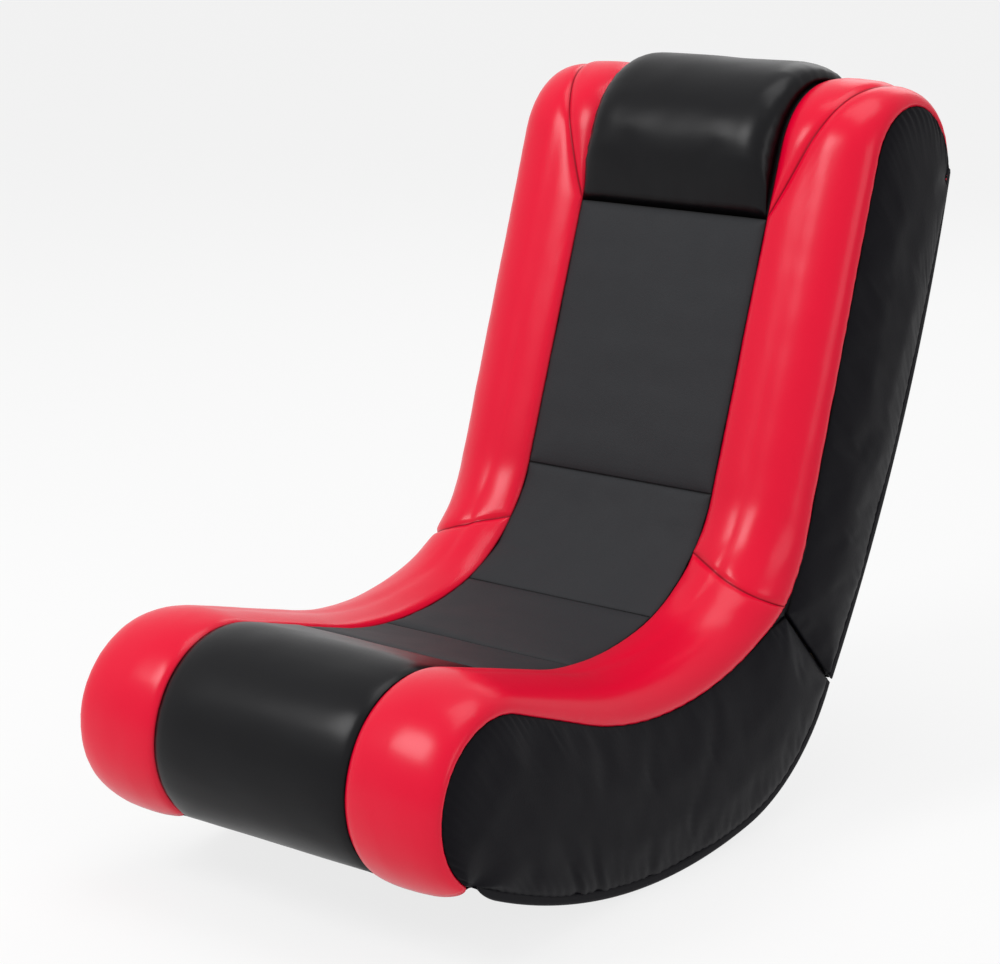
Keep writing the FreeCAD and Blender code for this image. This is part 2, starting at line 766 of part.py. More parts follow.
def crease_foam():
    wires = []
    for x in across(BOARD_EDGE):
        outer = span(pad_path(crest_share(abs(x)), S.cover_thick), FOLD_FRONT, FOLD_REAR)
        first = outer[0].start
        last = outer[-1].end
        seat_end = (-knuckle_room, first[1] * knuckle_room / -first[0] + S.fit)
        back_slope = last[0] / last[1]
        back_end = (knuckle_room * back_slope - S.fit, knuckle_room)
        wires.append(closed(outer + [Run(last, back_end), Run(back_end, seat_end)], x))
    return loft(wires)


keep("crease_cushion", crease_foam())

# Head cushion: a fat pillow round the top of the back, in a cover of its own


def bend_between(start, end, bulge):
    """An arc from start to end that stands out by bulge on the left of the way."""
    chord = math.dist(start, end)
    radius = (chord ** 2 / 4 + bulge ** 2) / (2 * bulge)
    way = angle_of(start, end)
    middle = ((start[0] + end[0]) / 2, (start[1] + end[1]) / 2)
    centre = plus(middle, toward(way - 90.0, radius - bulge))
    first = angle_of(centre, start)
    sweep = 2 * math.degrees(math.asin(chord / 2 / radius))
    return Bend(centre, radius, first, first - sweep)


def cushion_path(drop):
    centre = (S.cushion_setback, S.cushion_height)
    roll = Bend(centre, S.cushion_round - drop, S.cushion_front_angle, S.cushion_end_angle)
    seam = middle_outer[BACK_RUN].at(HEAD_SEAM - BACK_RUN)
    rear = middle_outer[HEAD].at(S.cushion_wrap_share)
    return [bend_between(seam, roll.start, S.cover_thick), roll, Run(roll.end, rear)]


def cushion_drop(x):
    over = max(0.0, abs(x) - S.centre_half + S.cushion_edge_width) / S.cushion_edge_width
    return S.cushion_edge_drop * (1.0 - math.sqrt(1.0 - over ** 2))


cushion_stations = [S.centre_half - S.cushion_edge_width * step for step in (0.0, 0.1, 0.4, 1.0)]
cushion_across = [-x for x in cushion_stations] + cushion_stations[::-1]


def head_cover():
    wires = []
    for x in cushion_across:
        outer = cushion_path(cushion_drop(x))
        inner = cushion_path(cushion_drop(x) + S.cover_thick)
        wires.append(closed(layer(outer, inner), x))
    return loft(wires)


def head_foam():
    wires = []
    seat_of_foam = backwards(span(middle_inner, HEAD_SEAM + S.cushion_seam_share,
                                  HEAD + S.cushion_wrap_share - S.cushion_seam_share))
    for x in cushion_across:
        outer = cushion_path(cushion_drop(x) + S.cover_thick + S.fit)
        wires.append(closed(outer[1:2] + seat_of_foam, x))
    return loft(wires)


keep("head_cushion_cover", head_cover())
keep("head_cushion_foam", head_foam())

# Rails: solid wood between the side boards


def box(name, length, width, height, corner):
    """A block whose three sizes are expressions of the sheet."""
    block = doc.addObject("Part::Box", name)
    block.setExpression("Length", "(%s) * 1 mm" % length)
    block.setExpression("Width", "(%s) * 1 mm" % width)
    block.setExpression("Height", "(%s) * 1 mm" % height)
    block.Placement.Base = Vector(*corner)
    return block


def rod(name, radius, height, base, axis):
    """A round bar whose radius and length are expressions of the sheet."""
    bar = doc.addObject("Part::Cylinder", name)
    bar.setExpression("Radius", "(%s) * 1 mm" % radius)
    bar.setExpression("Height", "(%s) * 1 mm" % height)
    bar.Placement = Placement(Vector(*base), Rotation(Vector(0, 0, 1), axis))
    return bar


def joined(name, pieces):
    fusion = doc.addObject("Part::MultiFuse", name)
    fusion.Shapes = pieces
    return fusion


def less(name, base, tools):
    cut = doc.addObject("Part::Cut", name)
    cut.Base = base
    cut.Tool = tools[0] if len(tools) == 1 else joined(name + "_tools", tools)
    return cut


def stand(obj, corner, angle, name):
    """Set an object down in the side view, turned about the chair's width, and file it."""
    turn = Rotation(Vector(1, 0, 0), angle)
    obj.Placement = Placement(Vector(0, corner[0] - chair_middle(), corner[1] + S.hinge_height), turn)
    obj.setExpression(".Placement.Base.z", "(%.6f + sizes.hinge_height) * 1 mm" % corner[1])
    obj.Label = name
    parts[name] = obj


SEAT_SPAN = "2 * (sizes.board_half - sizes.seat_board_thick)"
BACK_SPAN = "2 * (sizes.board_half - sizes.back_board_thick)"


def rail(name, length, bay, thick, tall, corner, angle):
    block = box(name + "_block", length, thick, tall, (-bay, 0, 0))
    stand(joined_alone(name, block), corner, angle, name)


def joined_alone(name, piece):
    """A single-piece group, so that the piece keeps its own place inside it."""
    group = doc.addObject("Part::Compound", name)
    group.Links = [piece]
    return group


rail("seat_front_rail", SEAT_SPAN, SEAT_BAY, "sizes.front_rail_thick", "sizes.front_rail_tall",
     (front_rail_front, front_rail_foot), 0.0)


def middle_height(depth, y):
    """Height of the rocking curve's layer over its middle arc."""
    arc = base_path(depth, -END_FACE)[1]
    return arc.centre[1] - math.sqrt(arc.radius ** 2 - (y - arc.centre[0]) ** 2)


middle_rail_front = -S.middle_rail_reach - S.rail_thick / 2
middle_rail_foot = max(middle_height(BASE_TOP + S.fit, middle_rail_front),
                       middle_height(BASE_TOP + S.fit, middle_rail_front + S.rail_thick))
rail("seat_middle_rail", SEAT_SPAN, SEAT_BAY, "sizes.rail_thick", "sizes.middle_rail_tall",
     (middle_rail_front, middle_rail_foot), 0.0)


def rear_rail(name, share):
    """A rail that backs the rear board at a share of the way down it."""
    curve = rear_path(REAR_TOP + S.fit, END_FACE)[0]
    angle = curve.angle(share)
    sag = curve.radius - math.sqrt(curve.radius ** 2 - S.back_rail_tall ** 2 / 4)
    inner = plus(curve.at(share), toward(angle, -sag - S.back_rail_thick))
    corner = plus(inner, toward(angle - 90.0, S.back_rail_tall / 2))
    rail(name, BACK_SPAN, BACK_BAY, "sizes.back_rail_thick", "sizes.back_rail_tall", corner, angle)


rear_rail("back_top_rail", S.top_rail_share)
rear_rail("back_middle_rail", S.middle_rail_share)

# Webbing: elastic straps stapled between the boards, under the foam


def strap(name, length, bay, point, angle):
    """A strap centred on a point, its upper face turned to an angle of the side view."""
    turn = Rotation(Vector(1, 0, 0), angle)
    band = box(name, length, "sizes.web_wide", "sizes.web_thick", (0, 0, 0))
    step = plus(toward(angle, -S.web_wide / 2), toward(angle + 90.0, -S.web_thick))
    corner = plus(point, step)
    band.Placement = Placement(Vector(-bay, corner[0], corner[1]), turn)
    return band


def way_at(path, station):
    """Direction of a path at a station."""
    piece = path[int(station)]
    share = station - int(station)
    return angle_of(piece.at(share - 0.001), piece.at(share + 0.001))


def group(name, pieces):
    bundle = doc.addObject("Part::Compound", name)
    bundle.Links = pieces
    stand(bundle, (0.0, 0.0), 0.0, name)


STRAP_ROOM = " - 2 * sizes.fit"
seat_straps = []
under_seat = pad_path(0.0, SEAT_FOAM_DEPTH + S.fit)
reach = front_rail_front + S.nose_block_long + S.web_gap + S.web_wide / 2
while reach < -S.seat_web_last_reach:
    station = station_at(under_seat, 0, reach, NOSE_RUN, CREASE + 0.5)
    point = under_seat[int(station)].at(station - int(station))
    seat_straps.append(strap("seat_strap_%d" % (len(seat_straps) + 1), SEAT_SPAN + STRAP_ROOM,
                             SEAT_EDGE, point, way_at(under_seat, station)))
    reach += S.seat_web_pitch
group("seat_webbing", seat_straps)

back_straps = []
behind_back = pad_path(0.0, BACK_FOAM_DEPTH + S.fit)[BACK_RUN]
run_length = behind_back.length()
strap_count = int((run_length - S.web_wide) // S.back_web_pitch) + 1
for place in range(strap_count):
    along = run_length / 2 + (place - (strap_count - 1) / 2) * S.back_web_pitch
    point = behind_back.at(along / run_length)
    back_straps.append(strap("back_strap_%d" % (place + 1), BACK_SPAN + STRAP_ROOM, BACK_EDGE,
                             point, S.back_angle))
group("back_webbing", back_straps)

# Hinges: two steel butt hinges in the split, drawn with Y down the split and Z towards the back.
# The seat's leaf has three knuckles and the back's leaf has the two between them.

LEAF_FACE = S.split_gap / 2 - S.leaf_thick
TONGUE = S.knuckle_round + 2 * S.knuckle_fit
KNUCKLES = 5
HINGE_MIDDLE = SEAT_BAY - S.hinge_margin - S.hinge_wide / 2
screw_rows = (S.screw_first_row, S.screw_second_row)


def screw_places(middle):
    return [(middle + across_leaf * S.screw_pitch, down) for across_leaf in (-1, 1)
            for down in screw_rows]


def leaf(name, middle, side, knuckles):
    """One leaf: its plate, a tongue to each of its knuckles, the bore and countersunk holes."""
    low = LEAF_FACE if side > 0 else -S.split_gap / 2
    pitch = S.hinge_wide / KNUCKLES
    plate = box(name + "_plate", "sizes.hinge_wide",
                "sizes.leaf_tall - (sizes.knuckle_round + 2 * sizes.knuckle_fit)",
                "sizes.leaf_thick", (middle - S.hinge_wide / 2, TONGUE, low))
    solids = [plate]
    for number in knuckles:
        start = middle + (number - KNUCKLES / 2) * pitch + S.knuckle_fit / 2
        length = "sizes.hinge_wide / %d - sizes.knuckle_fit" % KNUCKLES
        solids.append(box("%s_tongue_%d" % (name, number), length,
                          "sizes.knuckle_round + 2 * sizes.knuckle_fit", "sizes.leaf_thick",
                          (start, 0, low)))
        solids.append(rod("%s_knuckle_%d" % (name, number), "sizes.knuckle_round", length,
                          (start, 0, 0), Vector(1, 0, 0)))
    holes = [rod(name + "_bore", "sizes.pin_round + sizes.pin_fit",
                 "sizes.hinge_wide + 2 * sizes.knuckle_fit",
                 (middle - S.hinge_wide / 2 - S.knuckle_fit, 0, 0), Vector(1, 0, 0))]
    for number, (x, down) in enumerate(screw_places(middle)):
        holes.append(countersink("%s_hole_%d" % (name, number), x, down, side, "sizes.pin_fit"))
    stand(less(name, joined(name + "_solid", solids), holes), (0.0, 0.0), -S.split_angle, name)


def countersink(name, x, down, side, room):
    """A screw head's cone, from the leaf's open face to the face on the wood."""
    cone = doc.addObject("Part::Cone", name)
    cone.setExpression("Radius1", "(sizes.screw_head_round + %s) * 1 mm" % room)
    cone.setExpression("Radius2", "(sizes.screw_round + %s) * 1 mm" % room)
    cone.setExpression("Height", "sizes.leaf_thick * 1 mm")
    cone.Placement = Placement(Vector(x, down, side * LEAF_FACE),
                               Rotation(Vector(0, 0, 1), Vector(0, 0, side)))
    return cone


for side_name, middle in (("left", HINGE_MIDDLE), ("right", -HINGE_MIDDLE)):
    leaf("seat_hinge_leaf_" + side_name, middle, -1, (0, 2, 4))
    leaf("back_hinge_leaf_" + side_name, middle, 1, (1, 3))
    pin_name = "hinge_pin_" + side_name
    half = S.hinge_wide / 2
    pin = joined(pin_name, [
        rod(pin_name + "_shank", "sizes.pin_round", "sizes.hinge_wide + 2 * sizes.pin_fit",
            (middle - half - S.pin_fit, 0, 0), Vector(1, 0, 0)),
        rod(pin_name + "_head", "sizes.pin_head_round", "sizes.pin_head_thick",
            (middle - half - S.pin_fit - S.pin_head_thick, 0, 0), Vector(1, 0, 0)),
        rod(pin_name + "_peened_end", "sizes.pin_head_round", "sizes.pin_head_thick",
            (middle + half + S.pin_fit, 0, 0), Vector(1, 0, 0))])
    stand(pin, (0.0, 0.0), -S.split_angle, pin_name)

all_screw_places = screw_places(HINGE_MIDDLE) + screw_places(-HINGE_MIDDLE)
for section, side in (("seat", -1), ("back", 1)):
    screws = []
    for number, (x, down) in enumerate(all_screw_places):
        name = "%s_hinge_screw_%d" % (section, number + 1)
        shank = rod(name + "_shank", "sizes.screw_round", "sizes.screw_long - sizes.leaf_thick",
                    (x, down, side * S.split_gap / 2), Vector(0, 0, side))
        screws.append(joined(name, [countersink(name + "_head", x, down, side, "0"), shank]))
    bundle = doc.addObject("Part::Compound", section + "_hinge_screws")
    bundle.Links = screws
    stand(bundle, (0.0, 0.0), -S.split_angle, section + "_hinge_screws")

# Hinge rails: each carries its leaves on the end face of its own section


def hinge_rail(section, length, bay, side):
    low = S.split_gap / 2 if side > 0 else -S.split_gap / 2 - S.rail_thick
    name = section + "_hinge_rail"
    block = box(name + "_block", length, "sizes.hinge_rail_tall", "sizes.rail_thick",
                (-bay, S.hinge_rail_start, low))
    holes = [rod("%s_hole_%d" % (name, number), "sizes.screw_round + sizes.pin_fit",
                 "sizes.screw_long", (x, down, side * S.split_gap / 2), Vector(0, 0, side))
             for number, (x, down) in enumerate(all_screw_places)]
    stand(less(name, block, holes), (0.0, 0.0), -S.split_angle, name)


hinge_rail("seat", SEAT_SPAN, SEAT_BAY, -1)
hinge_rail("back", BACK_SPAN, BACK_BAY, 1)

# End covers: leathercloth over the two faces of the split, cut out for the leaves


def end_cover(section, side, foot):
    name = section + "_end_cover"
    low = S.split_gap / 2 - S.cover_thick if side > 0 else -S.split_gap / 2
    tall = math.dist((0.0, 0.0), foot) - S.hinge_rail_start
    sheet_block = box(name + "_sheet", "2 * (sizes.board_half - sizes.fit)", "%.6f" % tall,
                      "sizes.cover_thick", (-S.board_half + S.fit, S.hinge_rail_start, low))
    cuts = [box("%s_cut_%d" % (name, number), "sizes.hinge_wide + 2 * sizes.fit",
                "sizes.leaf_tall + sizes.fit", "sizes.leaf_thick * 2",
                (middle - S.hinge_wide / 2 - S.fit, 0, low - S.leaf_thick / 2))
            for number, middle in enumerate((HINGE_MIDDLE, -HINGE_MIDDLE))]
    stand(less(name, sheet_block, cuts), (0.0, 0.0), -S.split_angle, name)


end_cover("seat", -1, base_path(SKIN_DEPTH, -END_FACE)[0].start)
end_cover("back", 1, rear_path(SKIN_DEPTH, END_FACE)[0].end)

# Closing flap: the hook-and-loop flap at the foot of the rear cover, where the filling goes in


def rear_sheet(outer, inner, first, last):
    top = rear_path(outer, END_FACE)[0].stretch(first, last)
    bottom = rear_path(inner, END_FACE)[0].stretch(first, last)
    return top, bottom


rear_length = rear_path(0.0, END_FACE)[0].length()
flap_top = 1.0 - S.flap_tall / rear_length
hem_foot = flap_top + (S.flap_tall - S.tape_wide) / 2 / rear_length
tape_foot = hem_foot + S.tape_wide / rear_length
loop_face = S.cover_lift - S.tape_thick
hook_face = loop_face - S.tape_thick
flap_face = hook_face - S.flap_thick
flap_width = "2 * (sizes.border_half - sizes.welt_thick - sizes.fit)"
flap_outer, _ = rear_sheet(flap_face, hook_face, flap_top, 1.0)
_, flap_inner = rear_sheet(flap_face, hook_face, hem_foot, 1.0)
_, hem_inner = rear_sheet(flap_face, S.cover_lift, flap_top, hem_foot)
padded_plate("closing_flap", [flap_outer, flap_inner.backwards(), hem_inner.backwards()], {},
             -skin_half, flap_width)
for name, outer, inner in (("flap_loop_tape", loop_face, S.cover_lift),
                           ("flap_hook_tape", hook_face, loop_face)):
    top, bottom = rear_sheet(outer, inner, hem_foot, tape_foot)
    padded_plate(name, [top, bottom.backwards()], {}, -skin_half, flap_width)

# Nose lining: closes the underside between the nose covers and the base cover

base_tip = plus(base_path(S.cover_lift, -END_FACE)[-1].end, (-S.fit, 0.0))
nose_edge = plus(pad_path(0.0, S.cover_thick)[NOSE].start, (S.fit, -S.fit))
lining_back = (base_tip[0], base_tip[1] + S.cover_thick)
padded_plate("nose_lining", [Run(base_tip, nose_edge), Run(nose_edge, lining_back),
                             Run(lining_back, base_tip)], {}, -S.crest_half, "2 * sizes.crest_half")

# Every object is checked before anything is written

doc.recompute()
for obj in doc.Objects:
    if "Invalid" in obj.State or "Error" in obj.State:
        raise RuntimeError("%s did not compute: %s" % (obj.Label, obj.State))
for name, obj in parts.items():
    if obj.Shape.isNull() or not obj.Shape.isValid() or not obj.Shape.Solids:
        raise RuntimeError(name + " has no valid solid")

os.makedirs("parts", exist_ok=True)
for name, obj in parts.items():
    obj.Shape.exportStep("parts/%s.step" % name)
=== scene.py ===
import functools
import math

import bmesh
import bpy
import numpy as np
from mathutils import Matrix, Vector, noise


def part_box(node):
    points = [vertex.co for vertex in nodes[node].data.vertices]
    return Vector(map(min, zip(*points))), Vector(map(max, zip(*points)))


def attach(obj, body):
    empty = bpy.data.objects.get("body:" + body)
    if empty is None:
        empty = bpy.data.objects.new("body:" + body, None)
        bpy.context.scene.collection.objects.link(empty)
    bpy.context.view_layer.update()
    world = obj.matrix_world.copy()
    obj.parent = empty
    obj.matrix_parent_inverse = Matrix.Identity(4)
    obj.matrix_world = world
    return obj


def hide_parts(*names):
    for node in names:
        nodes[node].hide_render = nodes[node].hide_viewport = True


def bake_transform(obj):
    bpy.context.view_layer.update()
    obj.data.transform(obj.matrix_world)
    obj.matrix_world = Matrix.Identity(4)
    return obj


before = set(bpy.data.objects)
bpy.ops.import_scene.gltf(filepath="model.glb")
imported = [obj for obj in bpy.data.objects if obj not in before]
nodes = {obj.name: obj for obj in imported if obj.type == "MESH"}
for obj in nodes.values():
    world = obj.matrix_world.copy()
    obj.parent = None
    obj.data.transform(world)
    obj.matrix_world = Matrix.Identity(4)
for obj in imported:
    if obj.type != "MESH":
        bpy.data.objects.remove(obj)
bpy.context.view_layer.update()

# Studio: a pale floor under soft lamps, seen in three-quarter view from the sitter's left.
# The camera stands where the photograph's was for that view.  Nothing here belongs to the chair.

CAMERA_PLACE = (1.530, -2.012, 0.954)
CAMERA_BACK = Vector((0.5968, -0.7640, 0.2419))
CAMERA_LENS = 100.0
PHOTO_WHITE = (1.0, 1.0, 1.0, 1.0)

camera = bpy.data.objects.new("camera", bpy.data.cameras.new("camera"))
camera.data.lens = CAMERA_LENS
camera.location = CAMERA_PLACE
camera.rotation_mode = "QUATERNION"
camera.rotation_quaternion = CAMERA_BACK.to_track_quat("Z", "Y")
scene = bpy.context.scene
scene.collection.objects.link(camera)
scene.camera = camera
scene.view_settings.view_transform = "Standard"


class Value:
    """A socket, on which Python's operators add Math nodes."""

    def __init__(self, graph, socket):
        self.graph = graph
        self.socket = socket

    def math(self, operation, first, second):
        return self.graph.node("ShaderNodeMath", {"operation": operation}, {0: first, 1: second})

    def __add__(self, other):
        return self.math("ADD", self, other)

    def __rsub__(self, other):
        return self.math("SUBTRACT", other, self)

    def __mul__(self, other):
        return self.math("MULTIPLY", self, other)

    __radd__ = __add__
    __rmul__ = __mul__


class Graph:
    """A node tree, all of whose nodes come from one method."""

    def __init__(self, tree):
        self.tree = tree

    def node(self, kind, settings, sockets, output=0):
        made = self.tree.nodes.new(kind)
        for name, value in settings.items():
            setattr(made, name, value)
        for name, value in sockets.items():
            self.feed(made.inputs[name], value)
        return Value(self, made.outputs[output])

    def feed(self, socket, value):
        if isinstance(value, Value):
            self.tree.links.new(value.socket, socket)
        else:
            socket.default_value = value

    def looked_at(self):
        """1 for the rays that show the studio's white, directly or mirrored, and 0 for the others."""
        direct, mirrored, through = (self.node("ShaderNodeLightPath", {}, {}, ray) for ray in
                                     ("Is Camera Ray", "Is Glossy Ray", "Is Transmission Ray"))
        return direct + mirrored + through


class Finish(Graph):
    """A material of one shader, with its constants set on the shader itself."""

    def __init__(self, name, constants):
        self.name = name
        self.material = bpy.data.materials.new(name)
        self.material.use_nodes = True
        super().__init__(self.material.node_tree)
        self.shader = self.tree.nodes["Principled BSDF"]
        for socket, value in constants.items():
            self.shader.inputs[socket].default_value = value

    def shade(self, **inputs):
        for name, value in inputs.items():
            self.feed(self.shader.inputs[name.replace("_", " ")], value)
        return self.material

    def place(self, stretch=(1.0, 1.0, 1.0)):
        here = self.node("ShaderNodeTexCoord", {}, {}, "Object")
        return self.node("ShaderNodeVectorMath", {"operation": "MULTIPLY"}, {0: here, 1: stretch})

    def noise(self, scale, detail=2.0, stretch=(1.0, 1.0, 1.0)):
        return self.node("ShaderNodeTexNoise", {},
                         {"Vector": self.place(stretch), "Scale": scale, "Detail": detail}, "Fac")

    def blend(self, factor, first, second):
        """One colour or the other, by a factor from 0 to 1."""
        return self.node("ShaderNodeMix", {"data_type": "RGBA"}, {0: factor, 6: first, 7: second}, 2)

    def bump(self, height, strength, distance):
        return self.node("ShaderNodeBump", {},
                         {"Height": height, "Strength": strength, "Distance": distance})


FLOOR_GLOW = 0.8
FLOOR_HALF = 20.0
floor_finish = Finish("studio_floor", {"Base Color": (0.90, 0.90, 0.90, 1.0), "Roughness": 0.9,
                                       "Specular IOR Level": 0.1})
glow = floor_finish.node("ShaderNodeEmission", {}, {"Color": PHOTO_WHITE})
lit = Value(floor_finish, floor_finish.shader.outputs[0])
mixed = floor_finish.node("ShaderNodeMixShader", {},
                          {0: floor_finish.looked_at() * FLOOR_GLOW, 1: lit, 2: glow})
floor_finish.feed(floor_finish.tree.nodes["Material Output"].inputs["Surface"], mixed)
floor_mesh = bpy.data.meshes.new("studio_floor")
floor_mesh.from_pydata([(-FLOOR_HALF, -FLOOR_HALF, 0.0), (FLOOR_HALF, -FLOOR_HALF, 0.0),
                        (FLOOR_HALF, FLOOR_HALF, 0.0), (-FLOOR_HALF, FLOOR_HALF, 0.0)],
                       [], [(0, 1, 2, 3)])
floor_mesh.materials.append(floor_finish.material)
floor = bpy.data.objects.new("studio_floor", floor_mesh)
scene.collection.objects.link(floor)

SKY_LIGHT = 0.44
SKY_SEEN = 0.86
world = bpy.data.worlds.new("studio")
world.use_nodes = True
sky_graph = Graph(world.node_tree)
sky = world.node_tree.nodes["Background"]
sky.inputs["Color"].default_value = PHOTO_WHITE
sky_graph.feed(sky.inputs["Strength"], sky_graph.looked_at() * (SKY_SEEN - SKY_LIGHT) + SKY_LIGHT)
scene.world = world

LAMPS_AIM = Vector((0.0, 0.0, 0.3))
for lamp_name, place, size, watts in (
        ("lamp_key", (-1.2, -2.3, 2.6), 1.2, 46.0),
        ("lamp_side", (2.9, -0.9, 1.6), 1.4, 13.0),
        ("lamp_top", (0.1, 0.2, 3.2), 1.6, 25.0),
        ("lamp_rear", (-0.8, 2.9, 2.2), 1.6, 14.0)):
    lamp_data = bpy.data.lights.new(lamp_name, "AREA")
    lamp_data.shape = "SQUARE"
    lamp_data.size = size
    lamp_data.energy = watts
    lamp = bpy.data.objects.new(lamp_name, lamp_data)
    lamp.location = place
    lamp.rotation_mode = "QUATERNION"
    lamp.rotation_quaternion = (Vector(place) - LAMPS_AIM).to_track_quat("Z", "Y")
    scene.collection.objects.link(lamp)

# Frame: plywood cheeks and base panel, softwood rails and a thin hardboard rear board.
# The wood is glued and screwed together before any cover goes on, and keeps its CAD shape.


def give(finish, *names):
    for name in names:
        nodes[name].data.materials.clear()
        nodes[name].data.materials.append(finish.material)


def timber(name, light, dark, stretch, rings):
    """Sawn wood whose grain runs along the axis with the smallest stretch."""
    finish = Finish(name, {"Specular IOR Level": 0.25})
    wavy = finish.noise(3.0, 4.0, stretch)
    lines = finish.noise(rings, 6.0, stretch)
    grain = wavy * 0.45 + lines * 0.55
    finish.shade(Base_Color=finish.blend(grain, light, dark), Roughness=0.55 + grain * 0.25,
                 Normal=finish.bump(lines, 0.25, 0.0004))
    return finish


plywood = timber("plywood", (0.63, 0.44, 0.24, 1.0), (0.42, 0.26, 0.12, 1.0), (9.0, 1.0, 7.0), 14.0)
softwood = timber("softwood", (0.66, 0.45, 0.23, 1.0), (0.44, 0.24, 0.10, 1.0), (1.0, 12.0, 12.0), 9.0)
hardboard = timber("hardboard", (0.20, 0.11, 0.055, 1.0), (0.12, 0.06, 0.03, 1.0),
                   (40.0, 40.0, 40.0), 30.0)
give(plywood, "seat_side_board_left", "seat_side_board_right", "back_side_board_left",
     "back_side_board_right", "base_panel")
give(softwood, "seat_front_rail", "seat_middle_rail", "seat_hinge_rail", "back_hinge_rail",
     "back_middle_rail", "back_top_rail")
give(hardboard, "rear_board")

# Hinges: two pressed-steel butt hinges, zinc plated, screwed to the rails in the split.
# Three knuckles belong to the seat and the two between them to the back, round a peened pin.

zinc = Finish("zinc_plated_steel", {"Metallic": 1.0})
zinc_cloud = zinc.noise(60.0, 3.0)
zinc_scratch = zinc.noise(90.0, 5.0, (1.0, 12.0, 12.0))
zinc.shade(Base_Color=zinc.blend(zinc_cloud, (0.60, 0.60, 0.62, 1.0), (0.46, 0.46, 0.49, 1.0)),
           Roughness=0.28 + zinc_scratch * 0.25,
           Normal=zinc.bump(zinc_scratch, 0.15, 0.0002))
give(zinc, "seat_hinge_leaf_left", "seat_hinge_leaf_right", "back_hinge_leaf_left",
     "back_hinge_leaf_right", "hinge_pin_left", "hinge_pin_right", "seat_hinge_screws",
     "back_hinge_screws")

# Webbing: elastic straps stapled between the cheeks, which carry the foam.
# They are woven black, with a rib across each strap.

webbing = Finish("elastic_webbing", {"Roughness": 0.85, "Specular IOR Level": 0.2})
webbing_rib = webbing.node("ShaderNodeTexWave", {"wave_type": "BANDS", "bands_direction": "X"},
                           {"Vector": webbing.place(), "Scale": 160.0, "Distortion": 0.4}, "Fac")
webbing.shade(Base_Color=webbing.blend(webbing_rib, (0.012, 0.012, 0.013, 1.0),
                                       (0.035, 0.035, 0.037, 1.0)),
              Normal=webbing.bump(webbing_rib, 0.5, 0.0004))
give(webbing, "seat_webbing", "back_webbing")

# Padded face: foam under leathercloth, from under the front roll over the hollow and up the back.
# Its side view is one smooth line of arcs and straight runs; everything sewn to it follows that
# line.  Two bolsters in red leathercloth run its whole length beside the black middle strip.

pin_low, pin_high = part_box("hinge_pin_left")
PIVOT = ((pin_low.y + pin_high.y) / 2, (pin_low.z + pin_high.z) / 2)
CENTRE_HALF = 0.109
CREST_HALF = 0.150
BORDER_HALF = 0.206
BORDER_DROP = 0.0345
VALLEY = 0.005 / BORDER_DROP
ROW_STEP = 0.0065
LEATHER_THICK = 0.0015
NOSE, NOSE_RUN, DIP, CREASE, BACK_RUN, HEAD = range(6)
PATH_END = 6.0


def toward(angle, length=1.0):
    return (length * math.cos(math.radians(angle)), length * math.sin(math.radians(angle)))


def plus(a, b):
    return (a[0] + b[0], a[1] + b[1])


def between(start, end, share):
    """A point on the straight line from one point to another."""
    return tuple(a + (b - a) * share for a, b in zip(start, end))


class Run:
    """A straight stretch in the side view, measured from the fold hinge."""

    def __init__(self, start, end):
        self.start = start
        self.end = end
        self.length = math.dist(start, end)

    def at(self, share):
        return between(self.start, self.end, share)


class Bend:
    """A round stretch in the side view, swept from one angle to another."""

    def __init__(self, centre, radius, first, last):
        self.centre = centre
        self.radius = radius
        self.first = first
        self.last = last
        self.start = self.at(0.0)
        self.end = self.at(1.0)
        self.length = radius * abs(math.radians(last - first))

    def at(self, share):
        return plus(self.centre, toward(self.first + (self.last - self.first) * share, self.radius))


@functools.lru_cache(maxsize=None)
def pad_path(share):
    """The padded face from under the nose to behind the head: 0 is the crest, 1 the border."""
    nose = (-0.430 - 0.008 * share, -0.054 - 0.002 * share)
    nose_round = 0.093 - 0.019 * share
    dip_round = 0.350 + 0.020 * share
    dip = (-0.190, dip_round - 0.010 - BORDER_DROP * share)
    crease_round = 0.172 - 0.057 * share
    slope = 71.0 + 1.5 * share
    head = (0.198 + 0.007 * share, 0.395 - 0.003 * share)
    head_round = 0.084 - 0.018 * share

    outward = toward(slope + 90.0)
    offset = (head[0] + outward[0] * (head_round + crease_round) - dip[0],
              head[1] + outward[1] * (head_round + crease_round) - dip[1])
    down = toward(slope + 180.0)
    along = offset[0] * down[0] + offset[1] * down[1]
    spare = offset[0] ** 2 + offset[1] ** 2 - (dip_round - crease_round) ** 2
    travel = math.sqrt(along ** 2 - spare) - along
    crease = plus(dip, plus(offset, (down[0] * travel, down[1] * travel)))

    heading = math.degrees(math.atan2(dip[1] - nose[1], dip[0] - nose[0]))
    reach = math.hypot(dip[0] - nose[0], dip[1] - nose[1])
    nose_slope = heading - math.degrees(math.asin((nose_round + dip_round) / reach))
    crease_slope = math.degrees(math.atan2(crease[0] - dip[0], dip[1] - crease[1]))
    roll = Bend(nose, nose_round, 234.0, 90.0 + nose_slope)
    hollow = Bend(dip, dip_round, 270.0 + nose_slope, 270.0 + crease_slope)
    fold = Bend(crease, crease_round, 270.0 + crease_slope, 270.0 + slope)
    top = Bend(head, head_round, 90.0 + slope, -10.0)
    return [roll, Run(roll.end, hollow.start), hollow, fold, Run(fold.end, top.start), top]


def pad_point(share, station):
    """A point of the padded face, as (y, z) on the chair."""
    number = min(int(station), HEAD)
    y, z = pad_path(share)[number].at(station - number)
    return (y + PIVOT[0], z + PIVOT[1])


